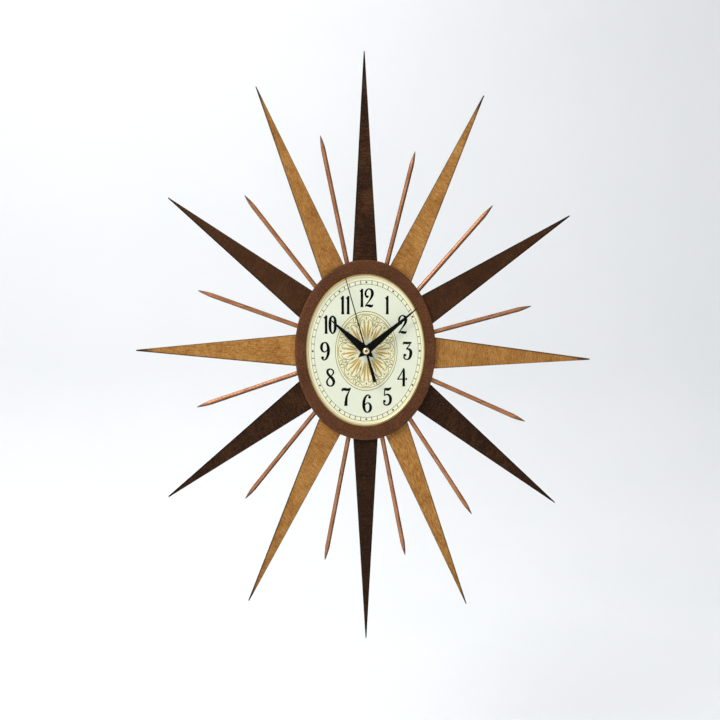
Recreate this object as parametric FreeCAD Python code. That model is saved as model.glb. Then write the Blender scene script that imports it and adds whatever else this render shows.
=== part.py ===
"""Sunburst wall clock: an oval wooden body with an inset dial, twelve wooden rays, twelve copper rods
and a battery quartz movement with its whole gear train.

Frame: +X to the right and +Z up as the clock is seen on the wall, +Y into the wall. The plane y = 0 is
the wall. Every piece is drawn about the hands' axis and moved at the end, so that the origin is the
centre of the hanger's hole. Millimetres and degrees. Clock angles run clockwise from 12, as on the dial.
"""

import FreeCAD, Part
import os
from math import acos, atan2, cos, hypot, pi, radians, sin, tan
from FreeCAD import Vector

# ---------------------------------------------------------------- driving dimensions
OVAL = 1.28             # height over width of every oval outline; 1.0 gives the round clock
GLUE_GAP = 0.1          # between a wooden piece and the seat it is glued in
RUN_GAP = 0.05          # radial clearance of everything that turns
EPS = 0.5               # how far a cutter reaches past the face that it opens

# case
DIAL_R = 65.0           # half the dial's width
RIM_W = 11.7            # wooden rim round the dial
BODY_T = 11.0
RECESS_DEPTH = 2.6      # dial's seat, from the front face
WEB_T = 5.0             # wood left between the dial's seat and the movement's pocket
BODY_ROUND = 2.4        # rounding of the rim's outer edge
RECESS_ROUND = 0.6      # rounding of the rim's inner edge
RING_T = 20.0           # back ring, which stands the rays off the wall
RING_INSET = 7.0        # back ring's outline inside the body's
RING_ROUND = 1.5
DIAL_T = 1.0
BEAD_W = 2.6            # gilt bead that holds the dial's edge down
BEAD_H = 2.0
BEAD_ROUND = 0.9

# rays and rods
RAY_TIP_R = 250.0       # half the clock's width, over the ray tips
RAY_T = 5.0
RAY_RIM_W = 26.6        # ray's width where it leaves the body
RAY_POINT_W = 0.9       # flat left on the point
TONGUE_W = 18.0         # ray's tongue inside the body
TONGUE_L = 15.0
SHOULDER_INSET = 4.0    # ray's shoulders, inside the body's edge
ROD_TIP_R = 185.4
ROD_D = 5.0
ROD_TAPER_L = 15.0
ROD_NOSE_R = 0.35
ROD_SEAT_L = 15.0       # rod's length inside the body
RAY_HOURS = range(1, 13)
# each ray and rod was set by hand: its tip stands this many degrees past its even place,
RAY_LEAN = {1: 0.8, 2: 2.9, 3: 1.9, 4: 2.2, 5: 3.0, 6: -0.2, 7: 0.8, 8: -0.1, 9: 0.1, 10: 1.2, 11: 2.0, 12: -0.3}
ROD_LEAN = {1: 3.5, 2: 3.4, 3: 4.3, 4: 5.3, 5: 1.0, 6: -1.2, 7: 1.0, 8: 0.3, 9: 0.7, 10: 0.1, 11: 0.0, 12: 2.8}
# and this far beyond the tips' radius
RAY_REACH = {1: 0.3, 2: 1.6, 3: -1.1, 4: 0.7, 5: -0.5, 6: 1.0, 7: 1.8, 8: -1.3, 9: -2.3, 10: -3, 11: -0.6, 12: 0.5}
ROD_REACH = {1: 0.5, 2: 1.4, 3: 3, 4: 0.6, 5: -1.3, 6: 2, 7: -2.1, 8: 4.3, 9: 2.6, 10: -1.1, 11: 1.7, 12: -8.8}

# wood screws through the back ring
SCREW_D = 3.5
SCREW_HEAD_D = 7.0
SCREW_HEAD_LAND = 0.3   # straight edge of the head above its cone
SCREW_BITE = 6.0        # thread inside the body
SCREW_ANGLES = range(30, 360, 60)

# hanger
HANGER_W = 18.0
HANGER_T = 1.5
HANGER_HOLE_R = 3.0
HANGER_RISE = 8.0       # hole's centre above the back ring's edge
HANGER_OVERLAP = 20.0   # plate lying on the back ring
HANGER_LEDGE = 6.5      # from the hole's centre to the plate's top
HANGER_SCREW_D = 2.5
HANGER_SCREW_HEAD_D = 5.0
HANGER_SCREW_L = 12.0
HANGER_SCREW_PITCH = 9.0

# movement case
CASE_WALL = 1.3
CASE_DEPTH = 14.0
CASE_ROUND = 3.0
COVER_T = 1.2
POCKET_GAP = 1.0        # round the case, in the wood
GASKET_T = 0.8
GASKET_R = 9.0
BATTERY_D = 14.2
BATTERY_L = 49.5
BATTERY_GAP = 0.3
BATTERY_NUB_R = 2.7
BATTERY_NUB_L = 1.0
CONTACT_ROOM = 1.95     # each end of the battery bay
CONTACT_T = 0.3
CONTACT_W = 3.0

# bush, washer and nut that clamp the movement to the dial
BUSH_R = 3.9
THREAD_PITCH = 0.75
THREAD_DEPTH = 0.35
BUSH_PROUD = 0.8        # bush beyond the nut
WASHER_RIM = 1.7        # washer beyond the bush
WASHER_T = 0.5
NUT_WALL = 0.7          # nut over the bush, at the middle of a flat
NUT_T = 2.2

# arbors and pipes
HOUR_PIPE_R = 2.5
MINUTE_PIPE_R = 1.6
SECOND_ARBOR_R = 0.5
ARBOR_R = 0.5
PIVOT_R = 0.35
POST_R = 1.0
STEM_R = 1.4

# teeth: (module, pinion teeth, wheel teeth)
HOUR_MESH_TEETH = (10, 40)          # motion pinion, hour wheel
MINUTE_MESH = (0.35, 12, 36)        # minute pinion, motion wheel
KNOB_TEETH = 12                     # on the setting stem, in mesh with the motion wheel
CENTRE_MESH = (0.25, 8, 64)         # third pinion, centre wheel
THIRD_MESH_TEETH = (8, 60)          # second pinion, third wheel
SECOND_MESH = (0.4, 8, 40)          # intermediate pinion, second wheel
INTERMEDIATE_MESH = (0.25, 8, 48)   # rotor pinion, intermediate wheel
PRESSURE = radians(20)
ADDENDUM = 0.8
DEDENDUM = 1.05
PINION_SHIFT = 0.5      # profile shift, taken from the wheel
TOOTH_SLACK = 0.14      # of the module, off each tooth's thickness
THIRD_BEARING = 300     # clock angles of the arbors about each other
INTERMEDIATE_BEARING = 60
ROTOR_BEARING = 30
MOTION_BEARING = 0
KNOB_BEARING = 330

# axial layout inside the case, forward to back
WHEEL_T = 0.9
LAYER_GAP = 0.35
PINION_OVERHANG = 0.3   # pinion past each side of the wheel that it meets
FIRST_GAP = 0.4         # from the case's front wall to the hour wheel

# motor
MAGNET_R = 3.2
MAGNET_L = 3.4
STATOR_T = 1.0
STATOR_GAP = 0.6        # between magnet and stator
STATOR_W = 8.8          # bar round the rotor
STATOR_SPAN = 22.0
STATOR_LEG_W = 4.0
COIL_L = 13.0
COIL_FLANGE_R = 4.2
COIL_R = 3.8
FLANGE_T = 0.7
CORE_W = 4.0
CORE_T = 1.0

# hands: rest angles, lengths and blade points
HOUR_REST = -48.7
MINUTE_REST = 50.3
SECOND_REST = -15.8
HAND_T = 0.5
SECOND_HAND_T = 0.3
HAND_HUB_R = 4.6
HAND_TAIL = 11.2
HAND_SHOULDER = 0.8     # how far behind the axis a blade is widest
HAND_GAP = 0.8          # between one hand's collet and the pipe behind it
COLLET_T = 1.0
HOUR_HAND_L = 50.2
HOUR_HAND_W = 10.4
HOUR_NEEDLE_L = 9.5     # slim point at the end of the blade
MINUTE_HAND_L = 71.2
MINUTE_HAND_W = 9.6
MINUTE_NEEDLE_L = 15.0
NEEDLE_W = 2.4
NEEDLE_POINT_W = 1.0
SECOND_HAND_L = 81.9
SECOND_HAND_TAIL = 35.0
SECOND_TAIL_W = 3.8
SECOND_NECK_W = 1.9
SECOND_ROOT_W = 1.5
SECOND_POINT_W = 0.9
SECOND_HUB_R = 2.6
CAP_R = 3.7
CAP_H = 1.7

# knob
KNOB_R = 5.0
KNOB_T = 3.0
KNOB_TEETH_GRIP = 24
KNOB_TIP_STEP = 0.4     # from the stem down to its tip in the case's post

# ---------------------------------------------------------------- levels along Y, wall to viewer
RING_FRONT = -RING_T
BODY_FRONT = RING_FRONT - BODY_T
RECESS_Y = BODY_FRONT + RECESS_DEPTH
DIAL_FRONT = RECESS_Y - DIAL_T
POCKET_Y = RECESS_Y + WEB_T
CASE_FRONT = POCKET_Y + GASKET_T
CASE_INSIDE = CASE_FRONT + CASE_WALL
CASE_BACK = CASE_FRONT + CASE_DEPTH
COVER_BACK = CASE_BACK + COVER_T
RAY_BACK = RING_FRONT - GLUE_GAP
RAY_FRONT = RAY_BACK - RAY_T
ROD_Y = RING_FRONT - GLUE_GAP - ROD_D / 2
WASHER_FRONT = DIAL_FRONT - WASHER_T
NUT_FRONT = WASHER_FRONT - NUT_T
BUSH_FRONT = NUT_FRONT - BUSH_PROUD

# ---------------------------------------------------------------- radii in the oval layout
RECESS_R = DIAL_R + GLUE_GAP
WASHER_R = BUSH_R + WASHER_RIM
NUT_FLAT_W = 2 * (BUSH_R + NUT_WALL)
BODY_R = RECESS_R + RIM_W
RING_R = BODY_R - RING_INSET
SHOULDER_R = BODY_R - SHOULDER_INSET
TONGUE_END_R = SHOULDER_R - TONGUE_L
ROD_END_R = BODY_R - ROD_SEAT_L


def spread(z_pinion, z_wheel, module):
    """Centre distance of a meshed pair."""
    return module * (z_pinion + z_wheel) / 2


def bearing(origin, distance, clock_angle):
    """The (x, z) point at that distance and clock angle from origin."""
    a = radians(clock_angle)
    return (origin[0] + distance * sin(a), origin[1] + distance * cos(a))


# two meshes share each centre distance, so the second one's module follows from the first
MOTION_DIST = spread(*MINUTE_MESH[1:], MINUTE_MESH[0])
HOUR_MODULE = MOTION_DIST / spread(*HOUR_MESH_TEETH, 1)
THIRD_DIST = spread(*CENTRE_MESH[1:], CENTRE_MESH[0])
THIRD_MODULE = THIRD_DIST / spread(*THIRD_MESH_TEETH, 1)

CENTRE_AXIS = (0.0, 0.0)
THIRD_AXIS = bearing(CENTRE_AXIS, THIRD_DIST, THIRD_BEARING)
INTERMEDIATE_AXIS = bearing(CENTRE_AXIS, spread(*SECOND_MESH[1:], SECOND_MESH[0]), INTERMEDIATE_BEARING)
ROTOR_AXIS = bearing(INTERMEDIATE_AXIS, spread(*INTERMEDIATE_MESH[1:], INTERMEDIATE_MESH[0]), ROTOR_BEARING)
MOTION_AXIS = bearing(CENTRE_AXIS, MOTION_DIST, MOTION_BEARING)
KNOB_AXIS = bearing(MOTION_AXIS, spread(KNOB_TEETH, MINUTE_MESH[2], MINUTE_MESH[0]), KNOB_BEARING)

# ---------------------------------------------------------------- axial layers in the movement
HOUR_WHEEL_Y = CASE_INSIDE + FIRST_GAP
MOTION_WHEEL_Y = HOUR_WHEEL_Y + WHEEL_T + LAYER_GAP + PINION_OVERHANG
CENTRE_WHEEL_Y = MOTION_WHEEL_Y + WHEEL_T + LAYER_GAP + 2 * PINION_OVERHANG
THIRD_WHEEL_Y = CENTRE_WHEEL_Y + WHEEL_T + LAYER_GAP + 2 * PINION_OVERHANG
SECOND_WHEEL_Y = THIRD_WHEEL_Y + WHEEL_T + LAYER_GAP + 2 * PINION_OVERHANG
INTERMEDIATE_WHEEL_Y = SECOND_WHEEL_Y + WHEEL_T + LAYER_GAP + 2 * PINION_OVERHANG
COIL_CORE_Y = SECOND_WHEEL_Y - LAYER_GAP - CORE_T
STATOR_Y = COIL_CORE_Y - STATOR_T

# ---------------------------------------------------------------- movement case outline
COIL_Z = KNOB_AXIS[1] + STEM_R + LAYER_GAP + COIL_FLANGE_R + 0.5
CASE_HALF_W = BATTERY_L / 2 + CONTACT_ROOM + CASE_WALL
CASE_TOP = COIL_Z + COIL_FLANGE_R + BATTERY_GAP + CASE_WALL
BAY_TOP = -(CENTRE_MESH[0] * (CENTRE_MESH[2] / 2 + 1) + LAYER_GAP + CONTACT_T + 1.0 + CASE_WALL)
BATTERY_Z = BAY_TOP - BATTERY_GAP - BATTERY_D / 2
CASE_BOTTOM = BATTERY_Z - BATTERY_D / 2 - BATTERY_GAP - CASE_WALL
BATTERY_Y = CASE_INSIDE + BATTERY_GAP + BATTERY_D / 2
POCKET_HALF_W = CASE_HALF_W + POCKET_GAP
POCKET = (-POCKET_HALF_W, POCKET_HALF_W, CASE_BOTTOM - POCKET_GAP, CASE_TOP + POCKET_GAP)
SCREW_R = (POCKET[1] + TONGUE_END_R) / 2
STATOR_X = (ROTOR_AXIS[0] - STATOR_SPAN / 2, ROTOR_AXIS[0] + STATOR_SPAN / 2)
PCB = (-CASE_HALF_W + CASE_WALL + 0.9, -8.5, THIRD_AXIS[1] + THIRD_MODULE * 32 + 0.6, CASE_TOP - CASE_WALL - 0.6)
PCB_T = 0.8
PCB_Y = CASE_INSIDE + 1.2


# ---------------------------------------------------------------- shape helpers
def oval(r, clock_angle):
    """The (x, z) point of the oval layout at that radius and clock angle."""
    a = radians(clock_angle)
    return (r * sin(a), OVAL * r * cos(a))


def oval_disc(r, y0, y1):
    """An oval plate, r wide each side of the axis, from y0 back to y1."""
    edge = Part.Ellipse(Vector(0, y0, OVAL * r), Vector(r, y0, 0), Vector(0, y0, 0)).toShape()
    return Part.Face(Part.Wire(edge)).extrude(Vector(0, y1 - y0, 0))


def disc(r, y0, y1, axis=(0, 0)):
    return Part.makeCylinder(r, y1 - y0, Vector(axis[0], y0, axis[1]), Vector(0, 1, 0))


def tube(r_out, r_in, y0, y1, axis=(0, 0)):
    return disc(r_out, y0, y1, axis).cut(disc(r_in, y0 - EPS, y1 + EPS, axis))


def block(x0, x1, y0, y1, z0, z1):
    return Part.makeBox(x1 - x0, y1 - y0, z1 - z0, Vector(x0, y0, z0))


def rounded_block(x0, x1, y0, y1, z0, z1, r):
    """A block whose four edges along Y are rounded."""
    solid = block(x0, x1, y0, y1, z0, z1)
    along = [e for e in solid.Edges if abs(e.tangentAt(e.FirstParameter).y) > 0.9]
    return solid.makeFillet(r, along)


def prism(points, y0, y1):
    """The closed outline of (x, z) points, from y0 back to y1."""
    ring = [Vector(x, y0, z) for x, z in points]
    return Part.Face(Part.makePolygon(ring + ring[:1])).extrude(Vector(0, y1 - y0, 0))


def turned(profile, axis=(0, 0)):
    """The closed profile of (radius, y) points, turned about the Y direction through axis."""
    ring = [Vector(r, y, 0) for r, y in profile]
    solid = Part.Face(Part.makePolygon(ring + ring[:1])).revolve(Vector(0, 0, 0), Vector(0, 1, 0), 360)
    return solid.translate(Vector(axis[0], 0, axis[1]))


def clock_turn(shape, clock_angle):
    """Turns a shape clockwise about the hands' axis, as seen from the front."""
    return shape.rotate(Vector(0, 0, 0), Vector(0, 1, 0), clock_angle)


def front_edges(shape, y):
    """The edges that lie wholly in the plane y."""
    return [e for e in shape.Edges if abs(e.BoundBox.YMin - y) < 1e-4 and abs(e.BoundBox.YMax - y) < 1e-4]


def width(edge):
    return edge.BoundBox.XLength


# ---------------------------------------------------------------- gears
def involute(a):
    return tan(a) - a


def gear_points(module, teeth, shift, phase):
    """A gear's outline, with one tooth's middle at the angle phase from +X towards +Z."""
    pitch_r = module * teeth / 2
    base_r = pitch_r * cos(PRESSURE)
    tip_r = pitch_r + (ADDENDUM + shift) * module
    root_r = pitch_r - (DEDENDUM - shift) * module
    half = (pi / 2 + 2 * shift * tan(PRESSURE)) / teeth - TOOTH_SLACK / teeth
    start_r = max(base_r, root_r)
    flank = [start_r + (tip_r - start_r) * k / 4 for k in range(5)]
    side = [(r, half + involute(PRESSURE) - involute(acos(base_r / r))) for r in flank]
    if root_r < base_r:
        side.insert(0, (root_r, side[0][1]))
    tooth = [(r, -a) for r, a in side] + [(r, a) for r, a in reversed(side)]
    turns = [phase + 2 * pi * k / teeth for k in range(teeth)]
    return [(r * cos(t + a), r * sin(t + a)) for t in turns for r, a in tooth]


def gear(module, teeth, shift, phase, y0, y1, axis):
    outline = [(x + axis[0], z + axis[1]) for x, z in gear_points(module, teeth, shift, phase)]
    return prism(outline, y0, y1)


def wheel(module, teeth, phase, y, axis):
    return gear(module, teeth, -PINION_SHIFT, phase, y, y + WHEEL_T, axis)


def pinion(module, teeth, phase, wheel_y, axis):
    """A pinion that reaches past both faces of the wheel that it meets."""
    return gear(module, teeth, PINION_SHIFT, phase, wheel_y - PINION_OVERHANG,
                wheel_y + WHEEL_T + PINION_OVERHANG, axis)


def mesh_phase(phase, teeth, axis, other_teeth, other_axis):
    """The phase that puts the other gear in mesh with this one."""
    line = atan2(other_axis[1] - axis[1], other_axis[0] - axis[0])
    return line + pi - (phase - line) * teeth / other_teeth + pi / other_teeth


MOTION_PINION_PHASE = mesh_phase(0, HOUR_MESH_TEETH[1], CENTRE_AXIS, HOUR_MESH_TEETH[0], MOTION_AXIS)
MOTION_WHEEL_PHASE = mesh_phase(0, MINUTE_MESH[1], CENTRE_AXIS, MINUTE_MESH[2], MOTION_AXIS)
KNOB_PHASE = mesh_phase(MOTION_WHEEL_PHASE, MINUTE_MESH[2], MOTION_AXIS, KNOB_TEETH, KNOB_AXIS)
THIRD_PINION_PHASE = mesh_phase(0, CENTRE_MESH[2], CENTRE_AXIS, CENTRE_MESH[1], THIRD_AXIS)
THIRD_WHEEL_PHASE = mesh_phase(0, THIRD_MESH_TEETH[0], CENTRE_AXIS, THIRD_MESH_TEETH[1], THIRD_AXIS)
INTERMEDIATE_PINION_PHASE = mesh_phase(0, SECOND_MESH[2], CENTRE_AXIS, SECOND_MESH[1], INTERMEDIATE_AXIS)
ROTOR_PHASE = mesh_phase(0, INTERMEDIATE_MESH[2], INTERMEDIATE_AXIS, INTERMEDIATE_MESH[1], ROTOR_AXIS)


# ---------------------------------------------------------------- rays and rods
def ray_half_width(distance):
    """Half of a ray's width, in the round layout, at a distance from the axis."""
    slope = (RAY_RIM_W - RAY_POINT_W) / 2 / (RAY_TIP_R - BODY_R)
    return RAY_POINT_W / 2 + (RAY_TIP_R - distance) * slope


def ray_points(hour, gap):
    """A ray's outline in the oval layout, grown sideways and inwards by gap."""
    shoulder = ray_half_width(SHOULDER_R) + gap
    tongue = TONGUE_W / 2 + gap
    side = [(tongue, TONGUE_END_R - gap), (tongue, SHOULDER_R - gap), (shoulder, SHOULDER_R - gap),
            (RAY_POINT_W / 2 + gap, RAY_TIP_R + RAY_REACH[hour])]
    outline = side + [(-across, out) for across, out in reversed(side)]
    a = radians(30 * hour + RAY_LEAN[hour])
    leaning = [(across * cos(a) + out * sin(a), out * cos(a) - across * sin(a)) for across, out in outline]
    return [(x, OVAL * z) for x, z in leaning]


def ray(hour):
    return prism(ray_points(hour, 0), RAY_FRONT, RAY_BACK)


def ray_slot(hour):
    return prism(ray_points(hour, GLUE_GAP), RAY_FRONT - GLUE_GAP, RING_FRONT + EPS)


def rod_line(hour):
    """Inner end, direction and length of the rod that follows that hour's ray."""
    angle = 30 * hour + 15 + ROD_LEAN[hour]
    x0, z0 = oval(ROD_END_R, angle)
    x1, z1 = oval(ROD_TIP_R + ROD_REACH[hour], angle)
    start = Vector(x0, ROD_Y, z0)
    along = Vector(x1 - x0, 0, z1 - z0)
    return start, along, along.Length


def laid_along(shape, start, along):
    """Moves a shape made along +Z from the origin to start, pointing along."""
    shape.Placement = FreeCAD.Placement(start, FreeCAD.Rotation(Vector(0, 0, 1), along))
    return shape


def rod(hour):
    """A round rod with a long slim point."""
    start, along, length = rod_line(hour)
    r = ROD_D / 2
    taper = length - ROD_TAPER_L
    bulge = Vector((r + ROD_NOSE_R) / 2 + 0.12 * r, 0, taper + ROD_TAPER_L / 2)
    edges = [
        Part.LineSegment(Vector(0, 0, 0), Vector(r, 0, 0)).toShape(),
        Part.LineSegment(Vector(r, 0, 0), Vector(r, 0, taper)).toShape(),
        Part.Arc(Vector(r, 0, taper), bulge, Vector(ROD_NOSE_R, 0, length)).toShape(),
        Part.LineSegment(Vector(ROD_NOSE_R, 0, length), Vector(0, 0, length)).toShape(),
        Part.LineSegment(Vector(0, 0, length), Vector(0, 0, 0)).toShape(),
    ]
    profile = Part.Face(Part.Wire(edges))
    return laid_along(profile.revolve(Vector(0, 0, 0), Vector(0, 0, 1), 360), start, along)


def rod_slot(hour):
    """A round-bottomed groove, open at the back of the body."""
    start, along, _ = rod_line(hour)
    r = ROD_D / 2 + GLUE_GAP
    out = Vector(along).normalize()
    inner = start - out * GLUE_GAP
    side = out.cross(Vector(0, 1, 0)) * r
    back = Vector(0, ROD_D, 0)
    edges = [
        Part.LineSegment(inner + side + back, inner + side),
        Part.Arc(inner + side, inner - Vector(0, r, 0), inner - side),
        Part.LineSegment(inner - side, inner - side + back),
        Part.LineSegment(inner - side + back, inner + side + back),
    ]
    section = Part.Face(Part.Wire([e.toShape() for e in edges]))
    return section.extrude(out * (ROD_SEAT_L * OVAL + 2 * RIM_W))


# ---------------------------------------------------------------- case
def wood_screw(axis, d, head_d, length, head_y):
    """A countersunk screw whose flat head lies at head_y and whose point is towards the viewer."""
    head_t = (head_d - d) / 2
    tip = head_y - length
    land_y = head_y - SCREW_HEAD_LAND
    body = turned([(0, head_y), (head_d / 2, head_y), (head_d / 2, land_y), (d / 2, land_y - head_t),
                   (d / 2, tip + d), (0.2, tip), (0, tip)], axis)
    slot_w = 0.22 * d
    for across, up in ((head_d * 0.32, slot_w), (slot_w, head_d * 0.32)):
        body = body.cut(block(axis[0] - across, axis[0] + across, head_y - 0.5 * head_t, head_y + EPS,
                              axis[1] - up, axis[1] + up))
    return body


def screw_hole(axis, d, head_d, length, head_y):
    """The hole for that screw, a glue gap wider all over."""
    head_t = (head_d - d) / 2
    r = d / 2 + GLUE_GAP
    head_r = head_d / 2 + GLUE_GAP
    tip = head_y - length - GLUE_GAP
    land_y = head_y - SCREW_HEAD_LAND
    return turned([(0, head_y + EPS), (head_r, head_y + EPS), (head_r, land_y), (r, land_y - head_t),
                   (r, tip), (0, tip)], axis)


def back_screw_spec(angle):
    return oval(SCREW_R, angle), SCREW_D, SCREW_HEAD_D, RING_T + SCREW_BITE, 0.0


def hanger_hole_axis():
    return (0.0, OVAL * RING_R + HANGER_RISE)


def hanger_screw_specs():
    z = OVAL * RING_R - HANGER_OVERLAP / 2
    for side in (-1, 1):
        yield (side * HANGER_SCREW_PITCH / 2, z), HANGER_SCREW_D, HANGER_SCREW_HEAD_D, HANGER_SCREW_L, 0.0


def hanger_outline(gap, y0, y1):
    z0 = OVAL * RING_R - HANGER_OVERLAP
    z1 = hanger_hole_axis()[1] + HANGER_LEDGE
    half = HANGER_W / 2 + gap
    return rounded_block(-half, half, y0, y1, z0 - gap, z1 + gap, 3.0)


def movement_pocket(y0, y1):
    return rounded_block(POCKET[0], POCKET[1], y0, y1, POCKET[2], POCKET[3], CASE_ROUND)


def clock_body():
    body = oval_disc(BODY_R, BODY_FRONT, RING_FRONT)
    body = body.cut(oval_disc(RECESS_R, BODY_FRONT - EPS, RECESS_Y))
    rims = sorted(front_edges(body, BODY_FRONT), key=width)
    body = body.makeFillet(BODY_ROUND, rims[-1:])
    rims = sorted(front_edges(body, BODY_FRONT), key=width)
    body = body.makeFillet(RECESS_ROUND, rims[:1])
    body = body.cut(movement_pocket(POCKET_Y, RING_FRONT + EPS))
    body = body.cut(disc(BUSH_R + GLUE_GAP, RECESS_Y - EPS, POCKET_Y + EPS))
    for angle in SCREW_ANGLES:
        body = body.cut(screw_hole(*back_screw_spec(angle)))
    for hour in RAY_HOURS:
        body = body.cut(ray_slot(hour))
        body = body.cut(rod_slot(hour))
    return body


def back_ring():
    ring = oval_disc(RING_R, RING_FRONT, 0)
    ring = ring.makeFillet(RING_ROUND, front_edges(ring, 0))
    ring = ring.cut(movement_pocket(RING_FRONT - EPS, EPS))
    ring = ring.cut(hanger_outline(GLUE_GAP, -HANGER_T, EPS))
    for angle in SCREW_ANGLES:
        ring = ring.cut(screw_hole(*back_screw_spec(angle)))
    for spec in hanger_screw_specs():
        ring = ring.cut(screw_hole(*spec))
    return ring


def back_screws():
    return Part.makeCompound([wood_screw(*back_screw_spec(angle)) for angle in SCREW_ANGLES])


def hanger_plate():
    plate = hanger_outline(0, -HANGER_T, 0)
    plate = plate.cut(disc(HANGER_HOLE_R, -HANGER_T - EPS, EPS, hanger_hole_axis()))
    for spec in hanger_screw_specs():
        plate = plate.cut(screw_hole(*spec))
    return plate


def hanger_screws():
    return Part.makeCompound([wood_screw(*spec) for spec in hanger_screw_specs()])


def dial_plate():
    hole = disc(BUSH_R + GLUE_GAP, DIAL_FRONT - EPS, RECESS_Y + EPS)
    return oval_disc(DIAL_R, DIAL_FRONT, RECESS_Y).cut(hole)


def dial_bead():
    front = DIAL_FRONT - BEAD_H
    bead = oval_disc(DIAL_R, front, DIAL_FRONT).cut(oval_disc(DIAL_R - BEAD_W, front - EPS, DIAL_FRONT + EPS))
    return bead.makeFillet(BEAD_ROUND, front_edges(bead, front))


# ---------------------------------------------------------------- bush, washer, nut
def threaded_bush():
    """The case's hollow bush: a row of ridges stands for its thread."""
    bore = HOUR_PIPE_R + RUN_GAP
    ridges = [(BUSH_R, CASE_FRONT)]
    y = CASE_FRONT - WEB_T
    while y - THREAD_PITCH > BUSH_FRONT:
        ridges += [(BUSH_R, y), (BUSH_R - THREAD_DEPTH, y - THREAD_PITCH / 2)]
        y -= THREAD_PITCH
    ridges += [(BUSH_R, y), (BUSH_R - THREAD_DEPTH, BUSH_FRONT)]
    return turned([(bore, CASE_INSIDE), (BUSH_R, CASE_INSIDE)] + ridges + [(bore, BUSH_FRONT)])


def dial_nut():
    corner = NUT_FLAT_W / 2 / cos(pi / 6)
    hexagon = [(corner * sin(k * pi / 3), corner * cos(k * pi / 3)) for k in range(6)]
    nut = prism(hexagon, NUT_FRONT, WASHER_FRONT)
    chamfer = turned([(0, NUT_FRONT), (corner - 0.7, NUT_FRONT), (corner + 0.1, NUT_FRONT + 0.8),
                      (corner + 0.1, WASHER_FRONT), (0, WASHER_FRONT)])
    return nut.common(chamfer).cut(disc(BUSH_R + RUN_GAP, NUT_FRONT - EPS, WASHER_FRONT + EPS))


# ---------------------------------------------------------------- movement case, cover, battery, circuit
def post(axis, top_y, r, bore_r, bore_depth):
    """A post on the case's front wall, with a blind pivot hole at its top."""
    return disc(r, CASE_INSIDE - EPS, top_y, axis).cut(disc(bore_r, top_y - bore_depth, top_y + EPS, axis))


def arbor_post(axis, top_y):
    return post(axis, top_y, POST_R, PIVOT_R + RUN_GAP, 1.5)


STATOR_PEGS = [(STATOR_X[0] + STATOR_LEG_W / 2, ROTOR_AXIS[1] + STATOR_W / 2 + 1.5),
               (STATOR_X[1] - STATOR_LEG_W / 2, ROTOR_AXIS[1] + STATOR_W / 2 + 1.5)]
PEG_R = 1.0
PCB_PEGS = [(PCB[0] + 2.5, PCB[3] - 2.5), (PCB[1] - 2.5, PCB[3] - 2.5)]


def movement_case():
    inside = CASE_HALF_W - CASE_WALL
    case = rounded_block(-CASE_HALF_W, CASE_HALF_W, CASE_FRONT, CASE_BACK, CASE_BOTTOM, CASE_TOP, CASE_ROUND)
    case = case.cut(rounded_block(-inside, inside, CASE_INSIDE, CASE_BACK + EPS, BAY_TOP + CASE_WALL,
                                  CASE_TOP - CASE_WALL, CASE_ROUND - CASE_WALL))
    case = case.cut(rounded_block(-inside, inside, CASE_INSIDE, CASE_BACK + EPS, CASE_BOTTOM + CASE_WALL,
                                  BAY_TOP, CASE_ROUND - CASE_WALL))
    case = case.cut(block(inside - 2 * CONTACT_ROOM, inside, CASE_INSIDE, CASE_INSIDE + CONTACT_W + 1.6,
                          BAY_TOP - EPS, BAY_TOP + CASE_WALL + EPS))
    case = case.cut(disc(HOUR_PIPE_R + RUN_GAP, CASE_FRONT - EPS, CASE_INSIDE + EPS))
    case = case.fuse(threaded_bush())
    for axis, front_of in ((THIRD_AXIS, CENTRE_WHEEL_Y), (INTERMEDIATE_AXIS, SECOND_WHEEL_Y)):
        case = case.fuse(arbor_post(axis, front_of - PINION_OVERHANG - LAYER_GAP))
    case = case.fuse(arbor_post(ROTOR_AXIS, magnet_front() - LAYER_GAP))
    case = case.fuse(disc(PIVOT_R * 2, CASE_INSIDE - EPS, MOTION_WHEEL_Y + WHEEL_T, MOTION_AXIS))
    knob_post_y = MOTION_WHEEL_Y - PINION_OVERHANG - LAYER_GAP
    case = case.fuse(post(KNOB_AXIS, knob_post_y, STEM_R + 1, STEM_R - KNOB_TIP_STEP, 0.9))
    for axis in STATOR_PEGS:
        case = case.fuse(disc(PEG_R + 0.8, CASE_INSIDE - EPS, STATOR_Y, axis))
        case = case.fuse(disc(PEG_R, STATOR_Y - EPS, STATOR_Y + STATOR_T + 0.8, axis))
    for axis in PCB_PEGS:
        case = case.fuse(disc(PEG_R + 0.8, CASE_INSIDE - EPS, PCB_Y, axis))
        case = case.fuse(disc(PEG_R, PCB_Y - EPS, PCB_Y + PCB_T + 0.8, axis))
    return case.removeSplitter()


def movement_cover():
    cover = rounded_block(-CASE_HALF_W, CASE_HALF_W, CASE_BACK, COVER_BACK, BAY_TOP, CASE_TOP, CASE_ROUND)
    for axis in (CENTRE_AXIS, THIRD_AXIS, INTERMEDIATE_AXIS, ROTOR_AXIS):
        cover = cover.cut(disc(PIVOT_R + RUN_GAP, CASE_BACK - EPS, COVER_BACK + EPS, axis))
    cover = cover.cut(disc(STEM_R + RUN_GAP, CASE_BACK - EPS, COVER_BACK + EPS, KNOB_AXIS))
    lip = CASE_HALF_W - CASE_WALL - 0.2
    low, high = BAY_TOP + CASE_WALL + 0.2, CASE_TOP - CASE_WALL - 0.2
    for side in (-1, 1):
        x0, x1 = sorted((side * lip, side * (lip - 1.0)))
        cover = cover.fuse(block(x0, x1, CASE_BACK - 1.0, CASE_BACK + EPS, low + 6, high - 6))
    return cover


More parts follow.
